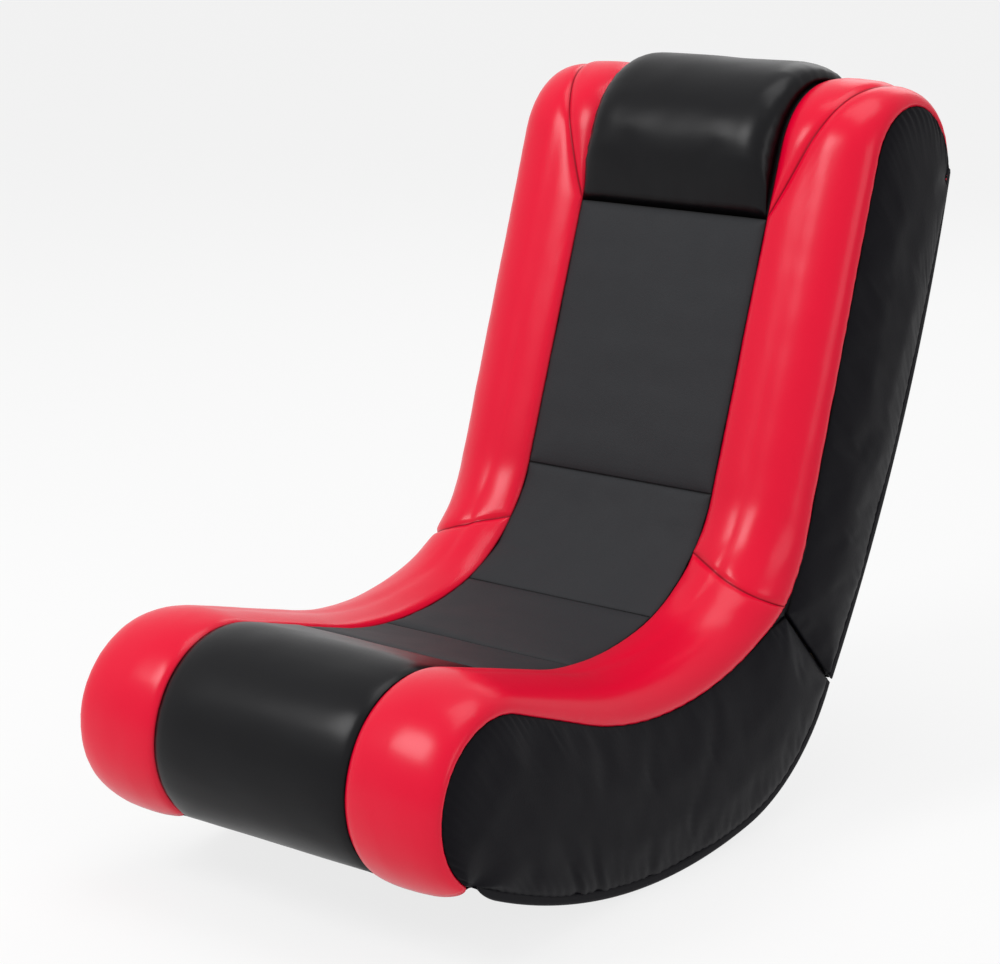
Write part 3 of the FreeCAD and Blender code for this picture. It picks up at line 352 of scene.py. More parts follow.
def crest_share(x):
    if x <= CENTRE_HALF:
        return VALLEY
    if x <= CREST_HALF:
        return VALLEY * ((CREST_HALF - x) / (CREST_HALF - CENTRE_HALF)) ** 2
    across = min(1.0, (x - CREST_HALF) / (BORDER_HALF - CREST_HALF))
    return 1.0 - math.sqrt(1.0 - across ** 2)


def way(station, share=0.0):
    """Distance along the padded face from under the nose to a station."""
    pieces = pad_path(share)
    number = min(int(station), HEAD)
    return sum(p.length for p in pieces[:number]) + pieces[number].length * (station - number)


def station_of(distance):
    for number, piece in enumerate(pad_path(0.0)):
        if distance <= piece.length or number == HEAD:
            return number + distance / piece.length
        distance -= piece.length


def spaced(first, last, step, seams):
    """Distances from first to last, closer together on both sides of each seam."""
    count = max(2, math.ceil((last - first) / step))
    places = {round(first + (last - first) * number / count, 5) for number in range(count + 1)}
    for seam in seams:
        for side in (-0.006, -0.003, -0.0015, 0.0, 0.0015, 0.003, 0.006):
            if first <= seam + side <= last:
                places.add(round(seam + side, 5))
    places = sorted(places)
    kept = [places[0]]
    for place in places[1:]:
        if place - kept[-1] > 0.0009:
            kept.append(place)
    return kept


def ways(points):
    """Distance along a line of points from its first, at each of them."""
    return np.concatenate([[0.0], np.cumsum(np.linalg.norm(np.diff(points, axis=0), axis=1))])


def outwards(grid):
    """Unit normals of a grid of points, on its outer side."""
    along = np.gradient(grid, axis=0)
    across = np.gradient(grid, axis=1)
    normal = np.cross(across, along)
    return normal / np.maximum(np.linalg.norm(normal, axis=2, keepdims=True), 1e-9)


def near(distance, width):
    """1 on a line, falling to 0 within about twice a width on both sides of it."""
    return np.exp(-(distance / width) ** 2)


def fading(distance, reach):
    """1 at an edge, fading out inwards over a reach."""
    return np.exp(-distance / reach)


def ripple(distance, pitch, jitter=0.0, beat=0.0):
    """Gathers along a seam, one to each pitch and from 1 to -1, unevenly spaced by a jitter."""
    return np.sin(distance * 2 * math.pi / pitch + jitter * np.sin(distance * beat))


def swelling(edge, rise, reach, pinch, groove=0.0035):
    """How far a padded panel stands out at a distance from its nearest seam."""
    return rise * (1.0 - fading(edge, reach)) - pinch * near(edge, groove)


CLOTH_STIFFNESS = 12.0
CLOTH_FRAMES = 20


def stuffed(grid, pressure, slack, cap):
    """The grid as slack cloth pinned at its edges and pressed out by its filling."""
    rows, columns = grid.shape[:2]
    mesh = bpy.data.meshes.new("cloth_trial")
    mesh.from_pydata([tuple(p) for p in grid.reshape(-1, 3)], [],
                     [(i * columns + j, i * columns + j + 1, (i + 1) * columns + j + 1,
                       (i + 1) * columns + j) for i in range(rows - 1) for j in range(columns - 1)])
    trial = bpy.data.objects.new("cloth_trial", mesh)
    scene.collection.objects.link(trial)
    pins = trial.vertex_groups.new(name="pins")
    pins.add([i * columns + j for i in range(rows) for j in range(columns)
              if i in (0, rows - 1) or j in (0, columns - 1)], 1.0, "REPLACE")
    cloth = trial.modifiers.new("cloth", "CLOTH")
    cloth.settings.quality = 6
    cloth.settings.mass = 0.3
    cloth.settings.tension_stiffness = CLOTH_STIFFNESS
    cloth.settings.compression_stiffness = CLOTH_STIFFNESS
    cloth.settings.shear_stiffness = CLOTH_STIFFNESS / 2
    cloth.settings.bending_stiffness = 0.6
    cloth.settings.vertex_group_mass = "pins"
    cloth.settings.shrink_min = -slack
    cloth.settings.use_pressure = True
    cloth.settings.uniform_pressure_force = pressure
    cloth.settings.effector_weights.gravity = 0.0
    for frame_number in range(1, CLOTH_FRAMES + 1):
        scene.frame_set(frame_number)
    shown = trial.evaluated_get(bpy.context.evaluated_depsgraph_get())
    moved = np.array([v.co for v in shown.data.vertices]).reshape(grid.shape) - grid
    bpy.data.objects.remove(trial)
    scene.frame_set(1)
    length = np.linalg.norm(moved, axis=2, keepdims=True)
    return grid + moved * np.minimum(1.0, cap / np.maximum(length, 1e-9))


def crumple(grid, height, size, stretch=(1.0, 1.0, 1.0)):
    """Shallow unevenness of stretched leathercloth over foam."""
    rise = np.zeros(grid.shape[:2])
    for i, row in enumerate(grid):
        for j, point in enumerate(row):
            seen = Vector([c * s / size for c, s in zip(point, stretch)])
            rise[i, j] = noise.noise(seen) + 0.4 * noise.noise(seen * 2.3)
    return rise * height


def piece(name, points, faces, finish, smooth=True):
    mesh = bpy.data.meshes.new(name)
    mesh.from_pydata([tuple(p) for p in points], [], faces)
    mesh.polygons.foreach_set("use_smooth", [smooth] * len(mesh.polygons))
    mesh.materials.append(finish.material)
    made = bpy.data.objects.new(name, mesh)
    scene.collection.objects.link(made)
    return made


def leather(name, grid, seam, finish, thick=LEATHER_THICK):
    """A sheet of leathercloth from a grid of its outer points; seam darkens its stitch lines."""
    rows, columns = grid.shape[:2]
    inner = grid - outwards(grid) * thick
    points = np.concatenate([grid.reshape(-1, 3), inner.reshape(-1, 3)])
    under = rows * columns
    faces = []
    for i in range(rows - 1):
        for j in range(columns - 1):
            a = i * columns + j
            quad = (a, a + 1, a + columns + 1, a + columns)
            faces.append(quad)
            faces.append(tuple(under + v for v in reversed(quad)))
    rim = [(0, j) for j in range(columns)] + [(i, columns - 1) for i in range(1, rows)]
    rim += [(rows - 1, j) for j in range(columns - 2, -1, -1)]
    rim += [(i, 0) for i in range(rows - 2, 0, -1)]
    loop = [i * columns + j for i, j in rim]
    for a, b in zip(loop, loop[1:] + loop[:1]):
        faces.append((b, a, a + under, b + under))
    made = piece(name, points, faces, finish)
    marks = made.data.attributes.new("stitch_line", "FLOAT", "POINT")
    marks.data.foreach_set("value", np.tile(seam.ravel(), 2).astype(np.float32))
    return made


def leathercloth(name, colour, dark, rough, coat, grain, level, coat_rough=0.28):
    """Coated leathercloth: a fine pressed grain, cloudy sheen and darker stitch lines."""
    finish = Finish(name, {"Coat Roughness": coat_rough, "Specular IOR Level": level})
    cells = finish.node("ShaderNodeTexVoronoi", {"feature": "SMOOTH_F1"},
                        {"Vector": finish.place(), "Scale": 620.0, "Smoothness": 0.6}, "Distance")
    cloud = finish.noise(7.0, 3.0)
    patch = finish.noise(38.0, 4.0)
    stitch = finish.node("ShaderNodeAttribute", {"attribute_name": "stitch_line"}, {}, "Fac")
    tone = finish.blend(cloud * 0.55 + cells * 0.25, colour, dark)
    tone = finish.blend(stitch * 0.85, tone, tuple(c * 0.12 for c in colour[:3]) + (1.0,))
    finish.shade(Base_Color=tone, Roughness=rough + patch * 0.10 + cells * 0.05,
                 Coat_Weight=coat * (1.0 - stitch) if coat else 0.0,
                 Normal=finish.bump(cells * 0.5 + patch * 0.5, grain, 0.0005))
    return finish


red = leathercloth("red_leathercloth", (0.84, 0.0, 0.034, 1.0), (0.76, 0.0, 0.026, 1.0),
                   rough=0.32, coat=0.42, grain=0.10, level=0.06, coat_rough=0.24)
HEAD_SEAM_FOOT = way(4.80)
HEAD_SEAM_TOP = way(5.32)
HEAD_SEAM_REACH = 0.060
FOLD_SEAM = way(3.62)
FOLD_LEAN = -0.45
bolster_rows = spaced(0.0, way(PATH_END), ROW_STEP, [FOLD_SEAM])
section_x = [CENTRE_HALF + (CREST_HALF - CENTRE_HALF) * k / 20 for k in range(20)]
section_x += [CREST_HALF + (BORDER_HALF - CREST_HALF) * math.sin(math.radians(turn))
              for turn in range(0, 91, 3)]
section = np.array([(x, crest_share(x) * 0.040) for x in section_x])
section_girth = ways(section)
GIRTH = section_girth[-1]
SEAM_COLUMN = 0.036
seam_near = [SEAM_COLUMN + s for s in (-0.006, -0.0032, -0.0014, 0.0, 0.0014, 0.0032, 0.006)]
FLAT_START = 0.047
FLAT_END = GIRTH - 0.004
columns = [0.0, 0.001, 0.0022, 0.004, 0.007, 0.012, 0.018, 0.024] + seam_near
columns += [FLAT_START + (FLAT_END - FLAT_START) * k / 13 for k in range(14)]
columns += [GIRTH - 0.002, GIRTH]


def seam_girth(distance):
    """Where the head seam lies across the bolster, at a distance along it."""
    rise = (distance - HEAD_SEAM_FOOT) / (HEAD_SEAM_TOP - HEAD_SEAM_FOOT)
    climb = HEAD_SEAM_REACH * np.clip(rise, 0.0, 1.15) ** 0.85
    before = SEAM_COLUMN * np.clip(-rise / 0.9, 0.0, 1.0) ** 1.5
    return np.maximum(climb, before) + 0.0006


def across_fold(made):
    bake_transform(made)


def mirror(grid):
    return grid[:, ::-1] * np.array([-1.0, 1.0, 1.0])


LEAN_REACH = 0.25
lean = np.interp(bolster_rows,
                 [0.0, FOLD_SEAM - LEAN_REACH, FOLD_SEAM, FOLD_SEAM + LEAN_REACH, way(PATH_END)],
                 [0.0, 0.0, FOLD_LEAN, 0.0, 0.0])
girth = np.array([np.interp(columns, [0.0, SEAM_COLUMN, GIRTH], [0.0, seam_girth(d), GIRTH])
                  for d in bolster_rows])
along = np.array(bolster_rows)[:, None] + lean[:, None] * girth
across = np.interp(girth, section_girth, section_x)
grid = np.array([[(x, *pad_point(crest_share(x), station_of(distance)))
                  for x, distance in zip(*rows)] for rows in zip(across, along)])
out = outwards(grid)
inner_edge = girth
outer_edge = GIRTH - girth
beyond = np.maximum(0.0, HEAD_SEAM_FOOT - along)
head_seam = np.hypot(np.abs(girth - seam_girth(along)) * 0.93, beyond)
fold_seam = np.abs(along - FOLD_SEAM - girth * FOLD_LEAN) / math.hypot(1.0, FOLD_LEAN)
edge = np.minimum(np.minimum(inner_edge, outer_edge), np.minimum(head_seam, fold_seam))
rise = swelling(edge, rise=0.0028, reach=0.010, pinch=0.0016)
rise -= 0.0010 * near(girth - 0.041, 0.008) * (along > way(NOSE_RUN))
rise += 0.00035 * fading(outer_edge, 0.009) * ripple(along, pitch=0.0105, jitter=2.0, beat=31.0)
rise += 0.00022 * fading(inner_edge, 0.007) * ripple(along, pitch=0.013)
near_fold = near(along - way(3.55), 0.07)
rise += crumple(grid, height=0.0011, size=0.05, stretch=(2.2, 1.0, 1.0)) * (0.35 + near_fold)
stitch = np.maximum(near(np.minimum(head_seam, fold_seam), 0.0011), near(inner_edge, 0.0012))
left_grid = grid + out * rise[..., None]
for side, bolster_grid, marks in (("left", left_grid, stitch),
                                  ("right", mirror(left_grid), stitch[:, ::-1])):
    bolster = leather("red_bolster_" + side, bolster_grid, marks, red)
    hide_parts("seat_bolster_cover_" + side, "crease_bolster_cover_" + side,
                "back_bolster_cover_" + side, "head_bolster_cover_" + side)
    across_fold(bolster)

# Middle strip: five panels of black leathercloth over the same foam, sewn edge to edge.
# The nose panel is glossy, the seat and back panels have a matt grain, and each is crowned.

gloss_black = leathercloth("gloss_black_leathercloth", (0.0040, 0.0040, 0.0052, 1.0),
                           (0.0028, 0.0028, 0.0038, 1.0), rough=0.30, coat=0.26, grain=0.10,
                           level=0.05)
matt_black = leathercloth("matt_black_leathercloth", (0.030, 0.031, 0.034, 1.0),
                          (0.023, 0.024, 0.027, 1.0), rough=0.55, coat=0.0, grain=0.30,
                          level=0.16)
middle_columns = [-CENTRE_HALF + s for s in (0.0, 0.001, 0.0022, 0.004, 0.007)]
middle_columns += [x * 0.001 for x in range(-96, 97, 8)]
middle_columns += [CENTRE_HALF - s for s in (0.007, 0.004, 0.0022, 0.001, 0.0)]
NOSE_SEAM, MID_SEAM, LOW_SEAM, HIGH_SEAM, HEAD_SEAM = 1.5953, 2.4150, 3.0993, 3.9843, 4.7871


def middle_panel(name, first, last, finish, swell, wrinkle, top_seam=None):
    """A crowned panel between two stations; past a seam at its top it lies flat under the pillow."""
    top_seam = top_seam or last
    rows = spaced(way(first), way(last), ROW_STEP, [way(first), way(top_seam), way(last)])
    grid = np.array([[(x, *pad_point(VALLEY, station_of(distance))) for x in middle_columns]
                     for distance in rows])
    side_edge = CENTRE_HALF - np.abs(grid[..., 0])
    along = np.array(rows)[:, None] + np.zeros_like(side_edge)
    end_edge = np.maximum(0.0, np.minimum(along - rows[0], way(top_seam) - along))
    edge = np.minimum(side_edge, end_edge)
    rise = swelling(edge, rise=swell, reach=0.016, pinch=0.0014)
    rise += 0.00025 * fading(side_edge, 0.007) * ripple(along, pitch=0.012)
    creased = crumple(grid, height=wrinkle, size=0.045, stretch=(0.6, 1.5, 1.5))
    rise += creased * (1.0 - fading(end_edge, 0.006))
    return leather(name, grid + outwards(grid) * rise[..., None], near(edge, 0.0012), finish)


nose = middle_panel("nose_leather", NOSE, NOSE_SEAM, gloss_black, swell=0.0045, wrinkle=0.0006)
front = middle_panel("seat_front_leather", NOSE_SEAM, MID_SEAM, matt_black, swell=0.0032, wrinkle=0.0008)
rear = middle_panel("seat_rear_leather", MID_SEAM, LOW_SEAM, matt_black, swell=0.0030, wrinkle=0.0010)
crease = middle_panel("crease_leather", LOW_SEAM, HIGH_SEAM, matt_black, swell=0.0030, wrinkle=0.0016)
back = middle_panel("back_leather", HIGH_SEAM, PATH_END, matt_black, swell=0.0030, wrinkle=0.0008,
                    top_seam=HEAD_SEAM)
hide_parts("nose_panel", "seat_foam")
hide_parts("seat_front_panel")
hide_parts("seat_rear_panel")
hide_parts("crease_panel", "crease_cushion")
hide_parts("back_panel", "back_foam")
for panel in (nose, front):
    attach(panel, "seat_section")
for panel in (rear, crease, back):
    across_fold(panel)

# Head cushion: a fat pillow in glossy black leathercloth round the top of the back.
# It is sewn on along its front foot and its two sides, and wraps over to the rear.

CUSHION_CENTRE = (PIVOT[0] + 0.194, PIVOT[1] + 0.393)
CUSHION_ROUND = 0.1005
CUSHION_FIRST = 172.0
CUSHION_LAST = 29.0
CUSHION_SIDE = 0.030
CUSHION_END = 5.92


def cushion_line(count):
    """The pillow's outer line from its front foot, round the top, to its rear edge."""
    arc = [plus(CUSHION_CENTRE, toward(CUSHION_FIRST - (CUSHION_FIRST - CUSHION_LAST) * k / count,
                                       CUSHION_ROUND)) for k in range(count + 1)]
    foot = pad_point(VALLEY, HEAD_SEAM)
    rear_edge = pad_point(VALLEY, CUSHION_END)
    fore = [between(foot, arc[0], share) for share in (0.0, 0.25, 0.5, 0.75)]
    aft = [between(arc[-1], rear_edge, share) for share in (0.2, 0.4, 0.6, 0.8, 1.0)]
    return fore + arc + aft


cushion_outer = cushion_line(40)
cushion_way = np.linspace(way(HEAD_SEAM), way(CUSHION_END), len(cushion_outer))
cushion_inner = [pad_point(VALLEY, station_of(distance)) for distance in cushion_way]
cushion_columns = [-0.109, -0.1075, -0.105, -0.101, -0.095] + [x * 0.001 for x in range(-88, 89, 8)]
cushion_columns += [0.095, 0.101, 0.105, 0.1075, 0.109]
cushion_grid = np.zeros((len(cushion_outer), len(cushion_columns), 3))
for i, (outer, inner) in enumerate(zip(cushion_outer, cushion_inner)):
    for j, x in enumerate(cushion_columns):
        inward = min(1.0, (CENTRE_HALF - abs(x)) / CUSHION_SIDE)
        lift = 0.12 + 0.88 * math.sqrt(1.0 - (1.0 - inward) ** 2)
        cushion_grid[i, j] = (x, *between(inner, outer, lift))
side_edge = CENTRE_HALF - np.abs(cushion_grid[..., 0])
foot_way = ways(cushion_grid[:, 15])[:, None] + np.zeros_like(side_edge)
foot_edge = np.minimum(foot_way, foot_way[-1:] - foot_way)
edge = np.minimum(side_edge, foot_edge)
rise = -0.0012 * near(edge, 0.003)
free = 1.0 - fading(edge, 0.004)
rise += 0.0009 * free * fading(side_edge, 0.011) * ripple(foot_way, pitch=0.016)
rise += 0.0010 * free * fading(foot_edge, 0.012) * ripple(cushion_grid[..., 0], pitch=0.019)
rise += crumple(cushion_grid, height=0.0012, size=0.06, stretch=(0.8, 1.4, 1.4)) * free
cushion_grid = stuffed(cushion_grid + outwards(cushion_grid) * rise[..., None],
                       pressure=5.0, slack=0.003, cap=0.006)
pillow = leather("head_pillow", cushion_grid, near(edge, 0.0013), gloss_black)
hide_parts("head_cushion_cover", "head_cushion_foam")
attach(pillow, "back_section")

# Side covers: black leathercloth gathered over soft wadding on the outside of each cheek.
# They are sewn to the red border and to the welts, pleated over the nose's foot, and turned in
# along the split.

BASE_REACH = 0.170
BASE_ROUND = 0.625
BASE_REAR_ROUND = 0.200
BASE_REAR_START = 0.110
BASE_FRONT_ROUND = 0.684
BASE_FRONT_START = 0.130
BASE_TIP = -0.467
REAR_ROUND = 1.560
REAR_FOOT = 0.121
SPLIT_ANGLE = 45.5
SPLIT_HALF = 0.0025
WELT_TALL = 0.008
SKIN_LIFT = 0.0065
TURN_IN = 0.0065
side_black = leathercloth("black_leathercloth", (0.0058, 0.0054, 0.0075, 1.0),
                          (0.0038, 0.0034, 0.0052, 1.0), rough=0.42, coat=0.0, grain=0.25,
                          level=0.07)


SEAT_CORNER = toward(90.0 - SPLIT_ANGLE, -SPLIT_HALF)
BACK_CORNER = toward(90.0 - SPLIT_ANGLE, SPLIT_HALF)


def bearing(start, end):
    """The angle from the forward line at which one point sees another, in degrees."""
    return math.degrees(math.atan2(end[1] - start[1], end[0] - start[0]))


def base_line(depth, count):
    """The rocking curve from the split at the rear to its tip under the nose."""
    middle = (-BASE_REACH, -PIVOT[1] + BASE_ROUND)
    rear_angle = 270.0 + math.degrees(math.asin(BASE_REAR_START / BASE_ROUND))
    front_angle = 270.0 - math.degrees(math.asin(BASE_FRONT_START / BASE_ROUND))
    rear_middle = plus(middle, toward(rear_angle, BASE_ROUND - BASE_REAR_ROUND))
    front_middle = plus(middle, toward(front_angle, BASE_ROUND - BASE_FRONT_ROUND))
    shoulder = circle_meets(rear_middle, BASE_REAR_ROUND - depth, SEAT_CORNER)
    tip = 360.0 - math.degrees(math.acos((BASE_TIP - front_middle[0]) / (BASE_FRONT_ROUND - depth)))
    first = bearing(rear_middle, shoulder) % 360.0
    arcs = [Bend(rear_middle, BASE_REAR_ROUND - depth, first, rear_angle),
            Bend(middle, BASE_ROUND - depth, rear_angle, front_angle),
            Bend(front_middle, BASE_FRONT_ROUND - depth, front_angle, tip)]
    return follow(arcs, count)


def circle_meets(centre, radius, point):
    """Where the split's line leaves a circle, going down and rearwards from a point."""
    step = toward(-SPLIT_ANGLE)
    away = (point[0] - centre[0], point[1] - centre[1])
    reach = away[0] * step[0] + away[1] * step[1]
    spare = away[0] ** 2 + away[1] ** 2 - radius ** 2
    travel = math.sqrt(reach ** 2 - spare) - reach
    return plus(point, (step[0] * travel, step[1] * travel))


def follow(pieces, count, first=0.0, last=None):
    """Evenly spaced points along joined pieces, between two distances, on the chair."""
    if last is None:
        last = sum(p.length for p in pieces)
    points = []
    for number in range(count + 1):
        distance = first + (last - first) * number / count
        for p in pieces:
            if distance <= p.length + 1e-9 or p is pieces[-1]:
                y, z = p.at(min(1.0, distance / p.length))
                points.append((y + PIVOT[0], z + PIVOT[1]))
                break
            distance -= p.length
    return points


def rear_line(depth, drop, count):
    """The rear curve from the top of the back, or a drop below it, down to the split."""
    top = pad_path(0.0)[HEAD].end
    foot = plus(BACK_CORNER, toward(-SPLIT_ANGLE, REAR_FOOT))
    half_chord = math.dist(top, foot) / 2
    rise = toward(bearing(foot, top) + 90.0, math.sqrt(REAR_ROUND ** 2 - half_chord ** 2))
    centre = plus(between(top, foot, 0.5), rise)
    first = bearing(centre, top) - math.degrees(drop / REAR_ROUND)
    last = bearing(centre, circle_meets(centre, REAR_ROUND - depth, BACK_CORNER))
    return follow([Bend(centre, REAR_ROUND - depth, first, last)], count)


def border_line(first, last, count):
    """The seam between the red border and the side cover, between two stations."""
    return follow(pad_path(1.0), count, way(first, 1.0), way(last, 1.0))


def side_cover(name, upper, lower, gathers, pleats):
    """A padded side between two lines that run the same way, with (place, depth, height) pleats."""
    shares = [0.0, 0.004, 0.010, 0.02, 0.035, 0.055] + [0.08 + 0.84 * k / 18 for k in range(19)]
    shares += [1.0 - s for s in (0.055, 0.035, 0.02, 0.010, 0.004, 0.0)]
    upper = np.array(upper)
    lower = np.array(lower)
    steps = np.array(shares)[None, :, None]
    flat = upper[:, None] + (lower - upper)[:, None] * steps
    tall = np.linalg.norm(lower - upper, axis=1)[:, None]
    top_edge = steps[..., 0] * tall
    low_edge = (1.0 - steps[..., 0]) * tall
    row_way = ways(upper)[:, None]
    end_first = np.linalg.norm(flat - flat[:1], axis=2)
    end_last = np.linalg.norm(flat - flat[-1:], axis=2)
    edge = np.minimum(np.minimum(top_edge, low_edge), np.minimum(end_first, end_last))
    rise = 0.0078 * (1.0 - fading(edge, 0.011)) - 0.0006
    strength = gathers(row_way / row_way[-1])
    gathered = fading(top_edge, 0.004 + 0.010 * strength) * (1.0 - fading(top_edge, 0.0015))
    rise += strength * 0.0019 * gathered * ripple(row_way, pitch=0.0098, jitter=1.6, beat=43.0)
    rise += 0.0004 * fading(low_edge, 0.009) * ripple(row_way, pitch=0.014, jitter=1.2, beat=27.0)
    for place, deep, height in pleats:
        beyond = ways(lower)[:, None] - place
        fold = near(beyond, 0.0045) - 0.6 * near(beyond - 0.008, 0.005)
        rise -= deep * fold * near(low_edge, height)
    grid = np.concatenate([np.zeros(flat.shape[:2] + (1,)), flat], axis=2)
    rise += crumple(grid, height=0.0013, size=0.085) + crumple(grid, height=0.0005, size=0.03)
    grid[..., 0] = BORDER_HALF - 0.0004 + rise
    grid = stuffed(grid, pressure=0.6, slack=0.002, cap=0.004)
    marks = near(top_edge, 0.0013) * np.ones_like(rise)
    grid = np.concatenate([grid[:, :1], grid, grid[:, -1:]], axis=1)
    grid = np.concatenate([grid[:1], grid, grid[-1:]], axis=0)
    marks = np.pad(marks, 1, mode="edge")
    for turned in (grid[:, 0], grid[:, -1], grid[0], grid[-1]):
        turned[:, 0] = BORDER_HALF - TURN_IN
    for i, j in ((0, 0), (0, -1), (-1, 0), (-1, -1)):
        grid[i, j, 0] -= LEATHER_THICK
    return (leather(name + "left", grid, marks, side_black),
            leather(name + "right", mirror(grid), marks[:, ::-1], side_black))


SIDE_ROWS = 190
SEAT_LIP_ROWS = 24
BACK_LIP_ROWS = 18
SEAT_PLEATS = ((0.150, 0.0020, 0.040), (0.182, 0.0017, 0.030), (0.262, 0.0010, 0.030))


def nose_gathers(share):
    return np.clip(1.3 - share * 2.6, 0.15, 1.0)


def head_gathers(share):
    return np.clip(share * 2.8 - 1.5, 0.15, 1.0)


seat_upper = border_line(NOSE, CREASE, SIDE_ROWS - SEAT_LIP_ROWS)
seat_lip = [between(seat_upper[-1], plus(PIVOT, SEAT_CORNER), k / SEAT_LIP_ROWS)
            for k in range(1, SEAT_LIP_ROWS + 1)]
seat_sides = side_cover("seat_side_leather_", seat_upper + seat_lip,
                        base_line(WELT_TALL, SIDE_ROWS)[::-1], nose_gathers, SEAT_PLEATS)
back_upper = border_line(CREASE + 0.6, PATH_END, SIDE_ROWS - BACK_LIP_ROWS)
back_lip = [between(plus(PIVOT, BACK_CORNER), back_upper[0], k / BACK_LIP_ROWS)
            for k in range(BACK_LIP_ROWS)]
back_sides = side_cover("back_side_leather_", back_lip + back_upper,
                        rear_line(WELT_TALL, 0.0, SIDE_ROWS)[::-1], head_gathers, ())
for section, covers in (("seat", seat_sides), ("back", back_sides)):
    for side, cover in zip(("left", "right"), covers):
        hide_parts(section + "_side_cover_" + side, section + "_side_wadding_" + side)
        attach(cover, section + "_section")

# Fold gussets: small black triangles sewn between the side covers' lips and the border.
# They crumple as the chair folds; here they are attached to neither section.

GUSSET_THICK = 0.0012
gusset_border = border_line(CREASE - 0.02, BACK_RUN + 0.02, 40)
gusset_steps = [0.06 + 0.94 * k / 14 for k in range(15)]
gusset_grid = np.array([[(BORDER_HALF - GUSSET_THICK - 0.002 * (1 - step), *between(PIVOT, point, step))
                         for step in reversed(gusset_steps)] for point in gusset_border])
gusset_marks = np.zeros(gusset_grid.shape[:2])
for side, sided in (("left", gusset_grid), ("right", mirror(gusset_grid))):
    across_fold(leather("fold_gusset_" + side, sided, gusset_marks, side_black, GUSSET_THICK))

# Base and rear covers: black leathercloth drawn over the base panel and the hardboard.
# A closing flap with hook-and-loop tape covers the foot of the rear cover, and a lining closes
# the underside between the front roll and the base.

COVER_HALF = 0.2027
cover_columns = [-COVER_HALF + s for s in (0.0, 0.002, 0.005, 0.010)]
cover_columns += [x * 0.001 for x in range(-184, 185, 16)]
cover_columns += [COVER_HALF - s for s in (0.010, 0.005, 0.002, 0.0)]


def sheet(line, half):
    """A grid of points across the chair, from its left to its right, along a line."""
    return np.array([[(-x * half / COVER_HALF, y, z) for x in cover_columns] for y, z in line])


def drawn_cover(name, grid, wrinkle):
    """Leathercloth across the chair, drawn tight between the two welts."""
    side_edge = grid[0, 0, 0] - np.abs(grid[..., 0])
    row_way = ways(grid[:, len(cover_columns) // 2])[:, None]
    rise = 0.0005 * fading(side_edge, 0.012) * ripple(row_way, pitch=0.017)
    rise += crumple(grid, height=wrinkle, size=0.09, stretch=(0.7, 1.6, 1.6)) + wrinkle * 0.4
    return leather(name, grid + outwards(grid) * rise[..., None], np.zeros_like(rise), side_black)


COVER_ROWS = 110
base_cover = drawn_cover("base_leather", sheet(base_line(SKIN_LIFT, COVER_ROWS)[::-1], COVER_HALF),
                         wrinkle=0.0007)
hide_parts("base_cover")
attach(base_cover, "seat_section")
rear_cover = drawn_cover("rear_leather",
                         sheet(rear_line(SKIN_LIFT, 0.0005, COVER_ROWS)[::-1], COVER_HALF),
                         wrinkle=0.0009)
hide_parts("rear_cover")
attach(rear_cover, "back_section")
FLAP_ROWS = 22
flap_line = rear_line(0.0016, 0.0, 2 * COVER_ROWS)[:-FLAP_ROWS - 1:-1]
flap = drawn_cover("closing_flap_leather", sheet(flap_line, COVER_HALF - 0.001), wrinkle=0.0004)
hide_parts("closing_flap")
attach(flap, "back_section")

tape = Finish("hook_and_loop_tape", {"Roughness": 0.95, "Specular IOR Level": 0.1})
tape_pile = tape.noise(1400.0, 2.0)
tape.shade(Base_Color=tape.blend(tape_pile, (0.006, 0.006, 0.006, 1.0), (0.03, 0.03, 0.03, 1.0)),
           Normal=tape.bump(tape_pile, 0.8, 0.0006))
give(tape, "flap_loop_tape", "flap_hook_tape")

base_tip = base_line(SKIN_LIFT, 4)[-1]
nose_under = pad_point(0.0, 0.0)
LINING_ROWS = 6
lining_line = [between(nose_under, base_tip, k / LINING_ROWS) for k in range(LINING_ROWS + 1)]
lining_grid = sheet(lining_line, COVER_HALF - 0.002)
for column in range(len(cover_columns)):
    start = pad_point(crest_share(abs(lining_grid[0, column, 0])), 0.0)
    for row in range(LINING_ROWS + 1):
        share = 1.0 - row / LINING_ROWS
        lining_grid[row, column, 1] += (start[0] - nose_under[0]) * share
        lining_grid[row, column, 2] += (start[1] - nose_under[1]) * share
lining = drawn_cover("nose_lining_leather", lining_grid, wrinkle=0.0003)
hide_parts("nose_lining")
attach(lining, "seat_section")

# Split faces: leathercloth stretched over the end of each section, cut out round the hinge
# leaves, with a turned edge.


def closed_piece(name, points, faces, smooth):
    """A piece in black leathercloth without loose points, whose faces all look outwards."""
    made = piece(name, points, faces, side_black, smooth)
    mesh = bmesh.new()
    mesh.from_mesh(made.data)
    bmesh.ops.delete(mesh, geom=[v for v in mesh.verts if not v.link_faces], context="VERTS")
    bmesh.ops.recalc_face_normals(mesh, faces=mesh.faces)
    mesh.to_mesh(made.data)
    mesh.free()
    return made


LEAF_TALL = 0.0500


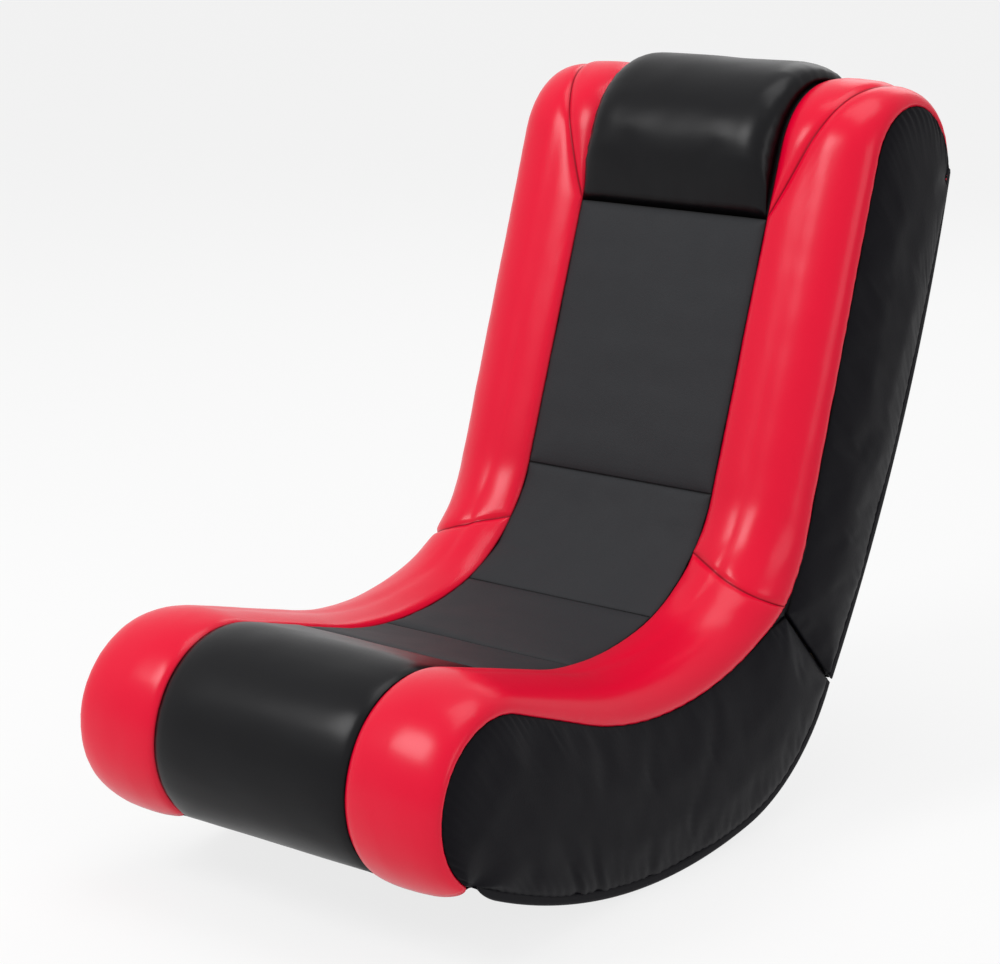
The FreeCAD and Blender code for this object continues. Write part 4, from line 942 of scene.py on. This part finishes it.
def split_face(section, side, foot):
    """A grid down the split, whose faces behind the hinge leaves are left out."""
    low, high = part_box("seat_hinge_leaf_left")
    reach = math.dist(PIVOT, foot)
    downs = [0.0005, 0.009, 0.020, 0.034, 0.0485, LEAF_TALL]
    downs += [LEAF_TALL + (reach - LEAF_TALL) * k / 8 for k in range(1, 9)]
    xs = [-0.1997, -0.185, high.x * -1.0 - 0.0003, -(high.x + low.x) / 2, -low.x + 0.0003, -0.03, 0.0,
          0.03, low.x - 0.0003, (high.x + low.x) / 2, high.x + 0.0003, 0.185, 0.1997]
    shift = toward(90.0 - SPLIT_ANGLE, side * SPLIT_HALF)
    under = toward(90.0 - SPLIT_ANGLE, side * 0.0010)
    points = []
    for lift in (shift, under):
        for down in downs:
            y, z = plus(plus(PIVOT, lift), toward(-SPLIT_ANGLE, down))
            points += [(x, y, z) for x in xs]
    behind_leaf = {2, 3, 8, 9}
    beside_fold = {0, 11}
    wide = len(xs)
    layer = len(downs) * wide
    cells = [(i, j) for i in range(len(downs) - 1) for j in range(wide - 1)
             if j in beside_fold or (i and not (i < 4 and j in behind_leaf))]
    faces = []
    edges = {}
    for i, j in cells:
        a = i * wide + j
        quad = (a, a + 1, a + wide + 1, a + wide)
        faces.append(quad)
        faces.append(tuple(v + layer for v in reversed(quad)))
        for v, w in zip(quad, quad[1:] + quad[:1]):
            key = tuple(sorted((v, w)))
            edges[key] = None if key in edges else (v, w)
    faces += [(w, v, v + layer, w + layer) for v, w in filter(None, edges.values())]
    made = closed_piece(section + "_split_leather", points, faces, False)
    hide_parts(section + "_end_cover")
    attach(made, section + "_section")


split_face("seat", -1, base_line(SKIN_LIFT, 4)[0])
split_face("back", 1, rear_line(SKIN_LIFT, 0.0, 4)[-1])

# Welts: stiff sewn rims along both edges of the base and of the rear, pointed at the split and
# tapered at the nose and the head.  Each is a folded strip of black leathercloth, stitched near
# its edge.


RIM_THICK = 0.003
RIM_TALL = WELT_TALL + 0.002
TAPERED_AWAY = 0.85


def rim(name, outer, inner, taper, side, section, node):
    """A folded strip between two lines with a stitch line, tapered to its last end."""
    profile = ((0.0, 0.0), (0.12, 0.8), (0.35, 1.0), (0.62, 0.78), (1.0, 1.0),
               (1.0, -1.0), (0.62, -0.78), (0.35, -1.0), (0.12, -0.8))
    half = RIM_THICK / 2
    points = []
    total = sum(math.dist(a, b) for a, b in zip(outer, outer[1:]))
    for number, (outer_point, inner_point) in enumerate(zip(outer, inner)):
        rest = total * (1.0 - number / (len(outer) - 1))
        round_off = 1.0 - math.sqrt(1.0 - (1.0 - min(1.0, rest / taper)) ** 2)
        edge_point = between(outer_point, inner_point, round_off * TAPERED_AWAY)
        for depth, swing in profile:
            points.append((side * (BORDER_HALF - half + swing * half),
                           *between(edge_point, inner_point, depth)))
    count = len(profile)
    rows = len(outer)
    faces = []
    for i in range(rows - 1):
        for j in range(count):
            a = i * count + j
            b = i * count + (j + 1) % count
            faces.append((a, b, b + count, a + count))
    faces.append(tuple(range(count))[::-1])
    faces.append(tuple((rows - 1) * count + j for j in range(count)))
    made = closed_piece(name, points, faces, True)
    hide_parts(node)
    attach(made, section)


for side, sign in (("left", 1), ("right", -1)):
    rim("base_rim_" + side, base_line(0.0, 200), base_line(RIM_TALL, 200), 0.030, sign,
        "seat_section", "base_welt_" + side)
    rim("rear_rim_" + side, rear_line(0.0, -0.012, 180)[::-1], rear_line(RIM_TALL, -0.012, 180)[::-1],
        0.006, sign, "back_section", "rear_welt_" + side)
